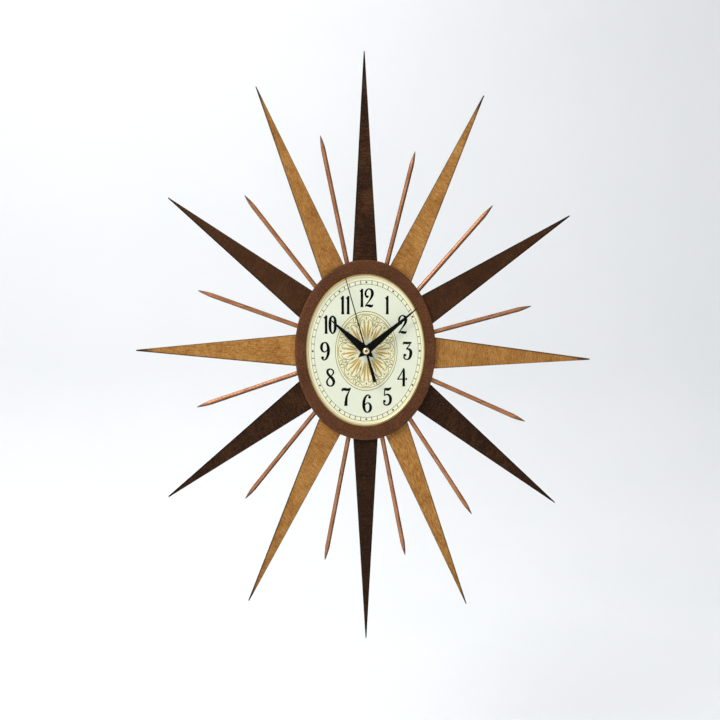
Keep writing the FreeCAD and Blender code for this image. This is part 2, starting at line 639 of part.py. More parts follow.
def battery():
    r = BATTERY_D / 2
    half = BATTERY_L / 2
    can = Part.makeCylinder(r, BATTERY_L - BATTERY_NUB_L, Vector(-half, BATTERY_Y, BATTERY_Z), Vector(1, 0, 0))
    ends = [e for e in can.Edges if e.BoundBox.XLength < 1e-4]
    can = can.makeFillet(0.6, ends)
    nub = Part.makeCylinder(BATTERY_NUB_R, BATTERY_NUB_L + EPS,
                            Vector(half - BATTERY_NUB_L - EPS, BATTERY_Y, BATTERY_Z), Vector(1, 0, 0))
    return can.fuse(nub)


def strip(points, y0, y1):
    """A bent metal strip of the contact's thickness along a line of (x, z) points."""
    half = CONTACT_T / 2
    pieces = []
    for (xa, za), (xb, zb) in zip(points, points[1:]):
        length = hypot(xb - xa, zb - za)
        ux, uz = (xb - xa) / length * half, (zb - za) / length * half
        corners = [(xa - ux - uz, za - uz + ux), (xb + ux - uz, zb + uz + ux),
                   (xb + ux + uz, zb + uz - ux), (xa - ux + uz, za - uz - ux)]
        pieces.append(prism(corners, y0, y1))
    return pieces[0].fuse(pieces[1:]).removeSplitter()


def battery_contact_plus():
    x = BATTERY_L / 2 + CONTACT_T / 2
    run_z = BAY_TOP + CASE_WALL + CONTACT_T
    wall_x = -CASE_HALF_W + CASE_WALL + CONTACT_ROOM + 1.5
    y0 = CASE_INSIDE + 0.6
    plate = block(x - CONTACT_T / 2, x + CONTACT_T / 2, y0, BATTERY_Y + 4, BATTERY_Z - 5, BATTERY_Z + 5)
    lead = strip([(x, BATTERY_Z), (x, run_z), (wall_x, run_z), (wall_x, PCB[2] - CONTACT_T)], y0, y0 + CONTACT_W)
    return plate.fuse(lead).removeSplitter()


def battery_contact_minus():
    x = -CASE_HALF_W + CASE_WALL + CONTACT_T / 2 + 0.1
    touch = -BATTERY_L / 2 - CONTACT_T * 0.6
    leaf = [(x, BATTERY_Z - 6), (x, BATTERY_Z + 5), (touch, BATTERY_Z), (touch - 0.6, BATTERY_Z - 3.5)]
    return strip(leaf, BATTERY_Y - 3.5, BATTERY_Y + 3.5)


def circuit_board():
    board = block(PCB[0], PCB[1], PCB_Y, PCB_Y + PCB_T, PCB[2], PCB[3])
    for axis in PCB_PEGS:
        board = board.cut(disc(PEG_R + GLUE_GAP, PCB_Y - EPS, PCB_Y + PCB_T + EPS, axis))
    blob = Part.makeSphere(4.2, Vector((PCB[0] + PCB[1]) / 2, PCB_Y + PCB_T - 3.2, PCB[2] + 4.2))
    above = block(PCB[0], PCB[1], PCB_Y + PCB_T / 2, PCB_Y + 6, PCB[2], PCB[3])
    return board.fuse(blob.common(above))


def quartz_crystal():
    """A can lying on the board, with its two legs bent down to the copper."""
    r = 1.0
    y = PCB_Y + PCB_T + r
    z = PCB[3] - 5.2
    x0 = PCB[0] + 5.5
    can = Part.makeCylinder(r, 6.0, Vector(x0, y, z), Vector(1, 0, 0))
    legs = [Part.makeBox(1.6, 0.3, 0.3, Vector(x0 - 1.6, y - 0.15, z + side - 0.15)) for side in (-0.4, 0.4)]
    feet = [Part.makeBox(0.3, r, 0.3, Vector(x0 - 1.6, y - r, z + side - 0.15)) for side in (-0.4, 0.4)]
    return can.fuse(legs + feet)


# ---------------------------------------------------------------- motor
def magnet_front():
    return STATOR_Y + STATOR_T / 2 - MAGNET_L / 2


def stator_plate():
    """A bar with the rotor's hole, two legs up to the coil core, and peg holes."""
    low, high = ROTOR_AXIS[1] - STATOR_W / 2, ROTOR_AXIS[1] + STATOR_W / 2
    top = COIL_Z + CORE_W / 2
    y0, y1 = STATOR_Y, STATOR_Y + STATOR_T
    plate = block(STATOR_X[0], STATOR_X[1], y0, y1, low, high)
    plate = plate.fuse([block(STATOR_X[0], STATOR_X[0] + STATOR_LEG_W, y0, y1, low, top),
                        block(STATOR_X[1] - STATOR_LEG_W, STATOR_X[1], y0, y1, low, top)])
    plate = plate.cut(disc(MAGNET_R + STATOR_GAP, y0 - EPS, y1 + EPS, ROTOR_AXIS))
    for axis in STATOR_PEGS:
        plate = plate.cut(disc(PEG_R + GLUE_GAP, y0 - EPS, y1 + EPS, axis))
    return plate.removeSplitter()


def coil_core():
    low, high = COIL_Z - CORE_W / 2, COIL_Z + CORE_W / 2
    return block(STATOR_X[0], STATOR_X[1], COIL_CORE_Y, COIL_CORE_Y + CORE_T, low, high)


def coil_cylinder(r, x0, x1):
    middle = Vector(x0, COIL_CORE_Y + CORE_T / 2, COIL_Z)
    return Part.makeCylinder(r, x1 - x0, middle, Vector(1, 0, 0))


COIL_X = (ROTOR_AXIS[0] - COIL_L / 2, ROTOR_AXIS[0] + COIL_L / 2)
BOBBIN_R = hypot(CORE_W, CORE_T) / 2 + 0.4


def coil_bobbin():
    bobbin = coil_cylinder(BOBBIN_R, *COIL_X)
    bobbin = bobbin.fuse([coil_cylinder(COIL_FLANGE_R, COIL_X[0], COIL_X[0] + FLANGE_T),
                          coil_cylinder(COIL_FLANGE_R, COIL_X[1] - FLANGE_T, COIL_X[1])])
    return bobbin.cut(coil_core())


def coil_winding():
    wound = coil_cylinder(COIL_R, COIL_X[0] + FLANGE_T, COIL_X[1] - FLANGE_T)
    return wound.cut(coil_cylinder(BOBBIN_R, *COIL_X))


def rotor_magnet():
    return tube(MAGNET_R, ARBOR_R, magnet_front(), magnet_front() + MAGNET_L, ROTOR_AXIS)


# ---------------------------------------------------------------- train
def arbor(axis, front_y):
    """A steel arbor whose pivots run in the case's post and in the cover."""
    back = CASE_BACK - LAYER_GAP
    shaft = disc(ARBOR_R, front_y, back, axis)
    pivots = [disc(PIVOT_R, front_y - LAYER_GAP - 1.0, front_y + EPS, axis),
              disc(PIVOT_R, back - EPS, CASE_BACK + COVER_T - 0.2, axis)]
    return shaft.fuse(pivots)


def rotor_pinion():
    leaves = pinion(INTERMEDIATE_MESH[0], INTERMEDIATE_MESH[1], ROTOR_PHASE, INTERMEDIATE_WHEEL_Y, ROTOR_AXIS)
    return arbor(ROTOR_AXIS, magnet_front()).fuse(leaves).removeSplitter()


def compound_wheel(axis, big, big_y, small, small_y, front_y):
    """A wheel and a pinion on one arbor. big and small are (module, teeth, phase)."""
    solid = arbor(axis, front_y).fuse(wheel(*big, big_y, axis))
    hub_from, hub_to = sorted((big_y + WHEEL_T / 2, small_y + WHEEL_T / 2))
    hub_r = small[0] * small[1] / 2 - (DEDENDUM - PINION_SHIFT) * small[0]
    return solid.fuse([pinion(*small, small_y, axis), disc(hub_r, hub_from, hub_to, axis)]).removeSplitter()


def intermediate_wheel():
    big = (INTERMEDIATE_MESH[0], INTERMEDIATE_MESH[2], 0)
    small = (SECOND_MESH[0], SECOND_MESH[1], INTERMEDIATE_PINION_PHASE)
    return compound_wheel(INTERMEDIATE_AXIS, big, INTERMEDIATE_WHEEL_Y, small, SECOND_WHEEL_Y,
                          SECOND_WHEEL_Y - PINION_OVERHANG)


def third_wheel():
    big = (THIRD_MODULE, THIRD_MESH_TEETH[1], THIRD_WHEEL_PHASE)
    small = (CENTRE_MESH[0], CENTRE_MESH[1], THIRD_PINION_PHASE)
    return compound_wheel(THIRD_AXIS, big, THIRD_WHEEL_Y, small, CENTRE_WHEEL_Y, CENTRE_WHEEL_Y - PINION_OVERHANG)


def second_arbor_front():
    return second_hand_front() - CAP_H + 0.7


def second_wheel():
    shaft = disc(SECOND_ARBOR_R, second_arbor_front(), CASE_BACK - LAYER_GAP)
    pivot = disc(PIVOT_R, CASE_BACK - LAYER_GAP - EPS, CASE_BACK + COVER_T - 0.2)
    leaves = pinion(THIRD_MODULE, THIRD_MESH_TEETH[0], 0, THIRD_WHEEL_Y, CENTRE_AXIS)
    rim = wheel(SECOND_MESH[0], SECOND_MESH[2], 0, SECOND_WHEEL_Y, CENTRE_AXIS)
    return shaft.fuse([pivot, leaves, rim]).removeSplitter()


CLUTCH_R = MINUTE_PIPE_R + 0.6


def centre_wheel():
    rim = wheel(CENTRE_MESH[0], CENTRE_MESH[2], 0, CENTRE_WHEEL_Y, CENTRE_AXIS)
    return rim.cut(disc(CLUTCH_R + RUN_GAP, CENTRE_WHEEL_Y - EPS, CENTRE_WHEEL_Y + WHEEL_T + EPS))


def minute_pipe():
    """The pipe that carries the minute hand, its pinion, and the hub that slips in the centre wheel."""
    back = CENTRE_WHEEL_Y + WHEEL_T + LAYER_GAP / 2
    hub = disc(CLUTCH_R, MOTION_WHEEL_Y + WHEEL_T + PINION_OVERHANG, back)
    leaves = pinion(MINUTE_MESH[0], MINUTE_MESH[1], 0, MOTION_WHEEL_Y, CENTRE_AXIS)
    pipe = disc(MINUTE_PIPE_R, minute_hand_front() - 0.9, back)
    bore = disc(SECOND_ARBOR_R + RUN_GAP, minute_hand_front() - 3, back + EPS)
    return pipe.fuse([hub, leaves]).removeSplitter().cut(bore)


def hour_wheel():
    rim = wheel(HOUR_MODULE, HOUR_MESH_TEETH[1], 0, HOUR_WHEEL_Y, CENTRE_AXIS)
    pipe = disc(HOUR_PIPE_R, hour_hand_front() - 0.4, HOUR_WHEEL_Y + WHEEL_T / 2)
    bore = disc(MINUTE_PIPE_R + RUN_GAP, hour_hand_front() - 3, HOUR_WHEEL_Y + WHEEL_T + EPS)
    return rim.fuse(pipe).cut(bore).removeSplitter()


def motion_wheel():
    rim = wheel(MINUTE_MESH[0], MINUTE_MESH[2], MOTION_WHEEL_PHASE, MOTION_WHEEL_Y, MOTION_AXIS)
    leaves = gear(HOUR_MODULE, HOUR_MESH_TEETH[0], PINION_SHIFT, MOTION_PINION_PHASE,
                  HOUR_WHEEL_Y - FIRST_GAP / 2, MOTION_WHEEL_Y + WHEEL_T / 2, MOTION_AXIS)
    bore = disc(PIVOT_R * 2 + RUN_GAP, CASE_INSIDE, MOTION_WHEEL_Y + 2 * WHEEL_T, MOTION_AXIS)
    return rim.fuse(leaves).cut(bore).removeSplitter()


def setting_knob():
    """Knurled knob behind the cover, with a stem and a pinion that drives the motion wheel."""
    leaves = pinion(MINUTE_MESH[0], KNOB_TEETH, KNOB_PHASE, MOTION_WHEEL_Y, KNOB_AXIS)
    front = MOTION_WHEEL_Y - PINION_OVERHANG
    tip = disc(STEM_R - KNOB_TIP_STEP - RUN_GAP, front - LAYER_GAP - 0.7, front + EPS, KNOB_AXIS)
    head_y = COVER_BACK + LAYER_GAP
    stem = disc(STEM_R, front, head_y + EPS, KNOB_AXIS)
    head = disc(KNOB_R, head_y, head_y + KNOB_T, KNOB_AXIS)
    head = head.makeFillet(0.5, front_edges(head, head_y + KNOB_T))
    for k in range(KNOB_TEETH_GRIP):
        groove = bearing(KNOB_AXIS, KNOB_R + 0.25, 360 / KNOB_TEETH_GRIP * k)
        head = head.cut(disc(0.5, head_y - EPS, head_y + KNOB_T + EPS, groove))
    return stem.fuse([tip, leaves, head]).removeSplitter()


# ---------------------------------------------------------------- hands
def hour_hand_front():
    return BUSH_FRONT - HAND_GAP - COLLET_T - HAND_T


def minute_hand_front():
    return hour_hand_front() - 0.4 - HAND_GAP - COLLET_T - HAND_T


def second_hand_front():
    return minute_hand_front() - 0.9 - HAND_GAP - SECOND_HAND_T


def blade(length, blade_w, needle_l, front_y, pipe_r):
    """A kite-shaped blade with a slim needle point, a short pointed tail and a collet behind its hub."""
    side = [(NEEDLE_POINT_W / 2, length), (NEEDLE_W / 2, length - needle_l), (blade_w / 2, -HAND_SHOULDER)]
    outline = side + [(0, -HAND_TAIL)] + [(-x, z) for x, z in reversed(side)]
    back = front_y + HAND_T
    flat = prism(outline, front_y, back).fuse(disc(HAND_HUB_R, front_y, back))
    flat = flat.fuse(disc(pipe_r + 1.2, back - 0.1, back + COLLET_T)).removeSplitter()
    return flat.cut(disc(pipe_r, front_y - EPS, back + COLLET_T + EPS))


def hour_hand():
    hand = blade(HOUR_HAND_L, HOUR_HAND_W, HOUR_NEEDLE_L, hour_hand_front(), HOUR_PIPE_R)
    return clock_turn(hand, HOUR_REST)


def minute_hand():
    hand = blade(MINUTE_HAND_L, MINUTE_HAND_W, MINUTE_NEEDLE_L, minute_hand_front(), MINUTE_PIPE_R)
    return clock_turn(hand, MINUTE_REST)


def second_hand():
    """A fine pointer with a long tail that widens to a straight end."""
    y0, y1 = second_hand_front(), second_hand_front() + SECOND_HAND_T
    root, point = SECOND_ROOT_W / 2, SECOND_POINT_W / 2
    neck, end = SECOND_NECK_W / 2, SECOND_TAIL_W / 2
    pointer = [(point, SECOND_HAND_L), (root, 0), (-root, 0), (-point, SECOND_HAND_L)]
    tail = [(neck, 0), (end, -SECOND_HAND_TAIL), (-end, -SECOND_HAND_TAIL), (-neck, 0)]
    flat = disc(SECOND_HUB_R, y0, y1).fuse([prism(pointer, y0, y1), prism(tail, y0, y1)]).removeSplitter()
    return clock_turn(flat.cut(disc(SECOND_ARBOR_R + 0.7, y0 - EPS, y1 + EPS)), SECOND_REST)


def second_hand_cap():
    """A turned brass cap: a domed head, and a tube through the hand that grips the arbor."""
    y = second_hand_front()
    bore = SECOND_ARBOR_R
    tube_r = SECOND_ARBOR_R + 0.7
    back = y + SECOND_HAND_T + HAND_GAP * 0.6
    front = y - CAP_H
    dome = [(CAP_R, y), (CAP_R, y - 0.5), (CAP_R - 0.5, y - 1.1), (CAP_R - 1.4, front + 0.1), (1.2, front),
            (0.8, front + 0.3), (0, front + 0.3)]
    inside = [(0, second_arbor_front()), (bore, second_arbor_front()), (bore, back), (tube_r, back), (tube_r, y)]
    return turned(inside + dome)


# ---------------------------------------------------------------- assembly
def ray_name(hour):
    return f"ray_{'dark' if hour % 2 == 0 else 'light'}_{hour:02d}"


def rod_name(hour):
    return f"copper_rod_{hour:02d}_30"


def build():
    parts = {
        "clock_body": clock_body(),
        "back_ring": back_ring(),
        "back_screws": back_screws(),
        "hanger_plate": hanger_plate(),
        "hanger_screws": hanger_screws(),
        "dial_plate": dial_plate(),
        "dial_bead": dial_bead(),
        "rubber_gasket": tube(GASKET_R, BUSH_R + GLUE_GAP, POCKET_Y, CASE_FRONT),
        "dial_washer": tube(WASHER_R, BUSH_R + GLUE_GAP, WASHER_FRONT, DIAL_FRONT),
        "dial_nut": dial_nut(),
        "movement_case": movement_case(),
        "movement_cover": movement_cover(),
        "battery": battery(),
        "battery_contact_plus": battery_contact_plus(),
        "battery_contact_minus": battery_contact_minus(),
        "circuit_board": circuit_board(),
        "quartz_crystal": quartz_crystal(),
        "stator_plate": stator_plate(),
        "coil_core": coil_core(),
        "coil_bobbin": coil_bobbin(),
        "coil_winding": coil_winding(),
        "rotor_magnet": rotor_magnet(),
        "rotor_pinion": rotor_pinion(),
        "intermediate_wheel": intermediate_wheel(),
        "second_wheel": second_wheel(),
        "third_wheel": third_wheel(),
        "centre_wheel": centre_wheel(),
        "minute_pipe": minute_pipe(),
        "motion_wheel": motion_wheel(),
        "hour_wheel": hour_wheel(),
        "setting_knob": setting_knob(),
        "hour_hand": hour_hand(),
        "minute_hand": minute_hand(),
        "second_hand": second_hand(),
        "second_hand_cap": second_hand_cap(),
    }
    for hour in RAY_HOURS:
        parts[ray_name(hour)] = ray(hour)
        parts[rod_name(hour)] = rod(hour)
    return parts


def main():
    os.makedirs("parts", exist_ok=True)
    to_origin = Vector(-hanger_hole_axis()[0], 0, -hanger_hole_axis()[1])
    for name, shape in build().items():
        shape.translate(to_origin)
        solids = shape.Solids
        if not solids or not shape.isValid() or min(s.Volume for s in solids) <= 0:
            raise SystemExit(f"{name} is not a valid solid")
        shape.exportStep(f"parts/{name}.step")
        box = shape.BoundBox
        print(f"{name}: {len(solids)} solid(s), {shape.Volume:.1f} mm3, y {box.YMin:.2f} to {box.YMax:.2f}")


main()
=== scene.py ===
import math
import random

import bpy
from mathutils import Euler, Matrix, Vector


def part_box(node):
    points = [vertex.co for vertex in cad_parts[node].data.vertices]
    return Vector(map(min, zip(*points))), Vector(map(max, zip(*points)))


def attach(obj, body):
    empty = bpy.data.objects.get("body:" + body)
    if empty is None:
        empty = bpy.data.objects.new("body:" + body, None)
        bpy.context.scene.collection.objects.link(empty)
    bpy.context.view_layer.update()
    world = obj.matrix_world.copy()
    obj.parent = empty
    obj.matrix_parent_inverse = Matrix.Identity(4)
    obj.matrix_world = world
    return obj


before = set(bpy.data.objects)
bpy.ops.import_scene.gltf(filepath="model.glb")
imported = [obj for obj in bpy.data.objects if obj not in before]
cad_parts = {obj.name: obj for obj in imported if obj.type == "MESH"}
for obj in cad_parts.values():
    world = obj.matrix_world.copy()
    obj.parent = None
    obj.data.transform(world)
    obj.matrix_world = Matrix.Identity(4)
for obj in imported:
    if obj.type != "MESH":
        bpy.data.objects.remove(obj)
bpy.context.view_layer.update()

# Sunburst wall clock: finishes for the CAD pieces, and the print on the dial.
# Metres, in the CAD frame: +X right and +Z up as the clock is seen on the wall, +Y into the wall.
# Clock angles run clockwise from 12.

MM = 0.001
random.seed(12)


# ---------------------------------------------------------------- places, from the frame
def middle(node):
    low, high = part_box(node)
    return (Vector(low) + Vector(high)) / 2


def mesh_points(node):
    return [v.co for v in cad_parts[node].data.vertices]


def nodes_like(start):
    return sorted(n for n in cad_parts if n.startswith(start))


HUB = middle("dial_washer")
DIAL_LOW, DIAL_HIGH = (Vector(p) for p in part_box("dial_plate"))
DIAL_FRONT = DIAL_LOW.y
DIAL_R = (DIAL_HIGH.x - DIAL_LOW.x) / 2
OVAL = (DIAL_HIGH.z - DIAL_LOW.z) / (DIAL_HIGH.x - DIAL_LOW.x)
BODY_LOW, BODY_HIGH = (Vector(p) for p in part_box("clock_body"))
BODY_R = (BODY_HIGH.x - BODY_LOW.x) / 2
RAYS = nodes_like("ray_")
RODS = nodes_like("copper_rod_")


def tip_of(node):
    """A ray's or rod's farthest point from the hands' axis."""
    return max(mesh_points(node), key=lambda p: math.hypot(p.x - HUB.x, p.z - HUB.z))


def on_oval(r, clock_angle):
    """The (x, z) point of the dial's oval layout, in metres from the hands' axis."""
    a = math.radians(clock_angle)
    return r * math.sin(a), OVAL * r * math.cos(a)


MEDAL_R = 33.6 * MM     # the printed rosette in the middle of the dial


# ---------------------------------------------------------------- node helpers
def srgb(r, g, b):
    """A display colour of 0 to 255 as the linear colour that a shader takes."""
    def linear(c):
        c /= 255
        return c / 12.92 if c <= 0.04045 else ((c + 0.055) / 1.055) ** 2.4
    return (linear(r), linear(g), linear(b), 1.0)


class Finish:
    """A material with one Principled shader, and short ways to add nodes to it."""

    def __init__(self, name):
        self.material = bpy.data.materials.new(name)
        self.material.use_nodes = True
        self.tree = self.material.node_tree
        self.tree.nodes.clear()
        self.shader = self.node("ShaderNodeBsdfPrincipled")
        output = self.node("ShaderNodeOutputMaterial")
        self.tree.links.new(self.shader.outputs["BSDF"], output.inputs["Surface"])
        self.place = self.node("ShaderNodeTexCoord").outputs["Object"]

    def node(self, kind, **settings):
        made = self.tree.nodes.new(kind)
        for key, value in settings.items():
            setattr(made, key, value)
        return made

    def feed(self, socket, value):
        """Sets a socket to a value, or links it to another node's output."""
        if isinstance(value, bpy.types.NodeSocket):
            self.tree.links.new(value, socket)
        else:
            socket.default_value = value

    def set(self, **sockets):
        for key, value in sockets.items():
            self.feed(self.shader.inputs[key.replace("_", " ")], value)

    def moved(self, place, location=(0, 0, 0), rotation=(0, 0, 0), scale=(1, 1, 1)):
        mapping = self.node("ShaderNodeMapping")
        self.feed(mapping.inputs["Vector"], place)
        mapping.inputs["Location"].default_value = location
        mapping.inputs["Rotation"].default_value = rotation
        mapping.inputs["Scale"].default_value = scale
        return mapping.outputs["Vector"]

    def noise(self, place, scale, detail, rough, warp=0.0):
        made = self.node("ShaderNodeTexNoise")
        self.feed(made.inputs["Vector"], place)
        made.inputs["Scale"].default_value = scale
        made.inputs["Detail"].default_value = detail
        made.inputs["Roughness"].default_value = rough
        made.inputs["Distortion"].default_value = warp
        return made.outputs["Fac"]

    def cells(self, place, scale):
        made = self.node("ShaderNodeTexVoronoi")
        self.feed(made.inputs["Vector"], place)
        made.inputs["Scale"].default_value = scale
        return made.outputs["Distance"]

    def wave(self, place, scale, warp, detail, direction):
        made = self.node("ShaderNodeTexWave", bands_direction=direction)
        self.feed(made.inputs["Vector"], place)
        made.inputs["Scale"].default_value = scale
        made.inputs["Distortion"].default_value = warp
        made.inputs["Detail"].default_value = detail
        made.inputs["Detail Scale"].default_value = 1.5
        return made.outputs["Fac"]

    def math(self, operation, a, b=0.0):
        made = self.node("ShaderNodeMath", operation=operation)
        self.feed(made.inputs[0], a)
        self.feed(made.inputs[1], b)
        return made.outputs[0]

    def split(self, place):
        made = self.node("ShaderNodeSeparateXYZ")
        self.feed(made.inputs[0], place)
        return made.outputs["X"], made.outputs["Y"], made.outputs["Z"]

    def fade(self, value, low, high, to_low=0.0, to_high=1.0):
        """The value's place between low and high, smoothly from to_low to to_high."""
        made = self.node("ShaderNodeMapRange", interpolation_type="SMOOTHSTEP")
        self.feed(made.inputs["Value"], value)
        for key, number in (("From Min", low), ("From Max", high), ("To Min", to_low), ("To Max", to_high)):
            made.inputs[key].default_value = number
        return made.outputs["Result"]

    def mix(self, factor, a, b):
        made = self.node("ShaderNodeMix", data_type="RGBA")
        colours = [s for s in made.inputs if s.type == "RGBA"]
        self.feed(made.inputs["Factor"], factor)
        self.feed(colours[0], a)
        self.feed(colours[1], b)
        return next(s for s in made.outputs if s.type == "RGBA")

    def ramp(self, factor, *stops):
        """Colours at places from 0 to 1, as (place, colour) pairs."""
        made = self.node("ShaderNodeValToRGB")
        self.feed(made.inputs["Fac"], factor)
        bands = made.color_ramp.elements
        while len(bands) < len(stops):
            bands.new(1.0)
        for band, (place, colour) in zip(bands, stops):
            band.position = place
            band.color = colour
        return made.outputs["Color"]

    def bump(self, height, depth, under=None):
        made = self.node("ShaderNodeBump")
        made.inputs["Distance"].default_value = depth
        self.feed(made.inputs["Height"], height)
        if under is not None:
            self.feed(made.inputs["Normal"], under)
        return made.outputs["Normal"]

    def facing(self):
        """How much the surface faces forwards or backwards, from 0 to 1."""
        normal = self.node("ShaderNodeNewGeometry").outputs["Normal"]
        return self.math("ABSOLUTE", self.split(normal)[1])


# ---------------------------------------------------------------- wood
RAY_ROOT_HALF = 13.3 * MM       # half a ray's width where it leaves the body
RAY_TIP_HALF = 0.45 * MM


def ray_place(finish, node):
    """Coordinates with a ray's axis along Z and its width along X, in the layout before it is made oval."""
    tip = tip_of(node)
    angle = math.atan2(tip.x - HUB.x, (tip.z - HUB.z) / OVAL)
    turn = Euler((0, -angle, 0))
    shift = Vector((HUB.x, 0, HUB.z / OVAL))
    shift.rotate(turn)
    return finish.moved(finish.place, location=-shift, rotation=turn, scale=(1, 1, 1 / OVAL))


def edge_distance(finish, across, out):
    """How far a point of a ray lies inside its cut edge."""
    ray_tip = (Vector(tip_of("ray_dark_12")) - HUB).z / OVAL
    slope = (RAY_ROOT_HALF - RAY_TIP_HALF) / (ray_tip - BODY_R)
    half = finish.math("MULTIPLY_ADD", finish.math("SUBTRACT", ray_tip, out), slope)
    half.node.inputs[2].default_value = RAY_TIP_HALF
    return finish.math("SUBTRACT", half, finish.math("ABSOLUTE", across))


BURNT_EDGE = (0.4 * MM, 1.4 * MM)       # dark brown up to here from the cut, faded out by here
RAGGED = 0.4 * MM               # how far the grain moves that edge
SCORCH_L = 16 * MM              # how far from a ray's tip its scorch starts
SCORCH_PAST = 2 * MM            # it would be darkest this far past the tip
SCORCH_RAGGED = 12 * MM         # how far the figure moves it

# the light rays whose figure runs along them; on the others it runs across
ALONG = ("ray_light_09", "ray_light_11", "ray_light_05")
# how much deeper than the others some rays took the stain
DEPTH = {"ray_dark_06": 0.5, "ray_dark_04": 0.3,
         "ray_light_03": 0.2, "ray_light_07": 0.15, "ray_light_11": 0.18}
# and how much less
LIFT = {"ray_dark_10": 0.35, "ray_dark_02": 0.22}


def ray_wood(node, light):
    """Plywood with a fine open figure, scorched where it was cut and more so at the point."""
    finish = Finish(node)
    place = ray_place(finish, node)
    across, _, out = finish.split(place)
    shift = tuple(random.uniform(-1, 1) for _ in range(3))
    own = finish.moved(place, location=shift)
    stretch = (1, 1, 0.2) if node in ALONG else (0.22 if light else 0.14, 1, 1)

    def grain(scale, detail, rough=0.6, warp=0.4):
        drawn = finish.moved(own, scale=tuple(scale * c for c in stretch))
        return finish.noise(drawn, 1.0, detail, rough, warp)

    broad = finish.noise(finish.moved(own, scale=(26, 30, 34)), 1.0, 5, 0.6, 0.8)
    streaks = grain(950 if light else 1300, 5)
    fibre = grain(2600, 3, 0.7)
    dashes = finish.fade(grain(1500, 3, 0.5, 0.2), 0.55, 0.66)
    if light:
        dark, mid, pale = srgb(118, 72, 27), srgb(162, 112, 54), srgb(196, 146, 82)
        scorch, rim, pore, fleck = srgb(38, 24, 14), srgb(70, 45, 23), srgb(104, 62, 20), srgb(206, 160, 98)
    else:
        dark, mid, pale = srgb(21, 11, 5), srgb(44, 25, 13), srgb(86, 54, 30)
        scorch, rim, pore, fleck = srgb(13, 8, 6), srgb(19, 11, 6), srgb(15, 8, 4), srgb(92, 59, 35)
    tone = finish.math("ADD", finish.math("MULTIPLY", broad, 0.4), finish.math("MULTIPLY", streaks, 0.6))
    base = finish.ramp(tone, (0.36, dark), (0.50, mid), (0.64, pale))
    base = finish.mix(finish.fade(fibre, 0.45, 0.75, 0.0, 0.45), base, dark)
    base = finish.mix(finish.math("MULTIPLY", dashes, 0.6), base, pore)
    base = finish.mix(DEPTH.get(node, 0.0), base, dark)
    base = finish.mix(LIFT.get(node, 0.0), base, pale)
    weave = finish.fade(finish.noise(finish.moved(own, scale=(1100, 1100, 1100)), 1.0, 3, 0.8), 0.50, 0.60)
    base = finish.mix(finish.math("MULTIPLY", weave, 0.35 if light else 0.45), base, fleck)
    inside = finish.math("ADD", edge_distance(finish, across, out), finish.math("MULTIPLY", fibre, RAGGED))
    base = finish.mix(finish.fade(inside, *BURNT_EDGE, 0.9, 0.0), base, rim)
    tip = tip_of(node)
    ray_tip = math.hypot(tip.x - HUB.x, (tip.z - HUB.z) / OVAL)
    scorched = finish.fade(finish.math("ADD", out, finish.math("MULTIPLY", broad, SCORCH_RAGGED)),
                           ray_tip - SCORCH_L, ray_tip + SCORCH_PAST, 0.0, 0.9 if light else 0.4)
    base = finish.mix(scorched, base, scorch)
    plies = finish.wave(finish.moved(finish.place, scale=(6, 1, 6)), 190, 0.6, 1, "Y")
    side = finish.mix(finish.math("MULTIPLY", plies, 0.5), scorch, rim)
    base = finish.mix(finish.fade(finish.facing(), 0.4, 0.7), side, base)
    rough = finish.fade(streaks, 0.3, 0.7, 0.44, 0.62) if light else finish.fade(streaks, 0.3, 0.7, 0.5, 0.7)
    relief = finish.bump(fibre, 0.06 * MM, finish.bump(streaks, 0.1 * MM))
    finish.set(Base_Color=base, Roughness=rough, Normal=relief, Specular_IOR_Level=0.08)
    return finish.material


def axis_distance(finish, place):
    """A point's distance from the Y axis of its coordinates."""
    x, _, z = finish.split(place)
    squares = finish.math("ADD", finish.math("MULTIPLY", x, x), finish.math("MULTIPLY", z, z))
    return finish.math("SQRT", squares)


def oval_radius(finish):
    """A point's radius in the dial's oval layout."""
    rounded = finish.moved(finish.place, location=(-HUB.x, 0, -HUB.z / OVAL), scale=(1, 1, 1 / OVAL))
    return axis_distance(finish, rounded)


def body_wood():
    """Fine dense board, stained a reddish brown: plain on the face, with faint plies on the side and a
    painted highlight along the outer rim.
    """
    finish = Finish("body_stain")
    cloud = finish.noise(finish.place, 35, 4, 0.6, 0.4)
    speck = finish.noise(finish.place, 1100, 3, 0.75)
    grain = finish.noise(finish.moved(finish.place, scale=(620, 700, 1100)), 1.0, 4, 0.6, 0.5)
    tone = finish.math("ADD", finish.math("MULTIPLY", speck, 0.55), finish.math("MULTIPLY", grain, 0.3))
    tone = finish.math("ADD", tone, finish.math("MULTIPLY", cloud, 0.15))
    base = finish.ramp(tone, (0.38, srgb(46, 26, 14)), (0.5, srgb(85, 51, 30)), (0.62, srgb(124, 80, 52)))
    # painted highlight: a paler, speckled band along the rounded outer edge
    paler = finish.fade(oval_radius(finish), BODY_R - 2.4 * MM, BODY_R - 0.4 * MM, 0.0, 0.3)
    base = finish.mix(finish.math("MULTIPLY", paler, speck), base, srgb(128, 86, 54))
    plies = finish.wave(finish.moved(finish.place, scale=(5, 1, 5)), 130, 0.8, 1, "Y")
    side = finish.mix(finish.fade(plies, 0.3, 0.7, 0.1, 0.9), srgb(42, 24, 14), srgb(64, 38, 23))
    base = finish.mix(finish.fade(finish.facing(), 0.05, 0.25), side, base)
    rough = finish.fade(tone, 0.35, 0.65, 0.62, 0.48)
    relief = finish.bump(speck, 0.08 * MM, finish.bump(grain, 0.05 * MM))
    finish.set(Base_Color=base, Roughness=rough, Normal=relief, Specular_IOR_Level=0.1)
    return finish.material


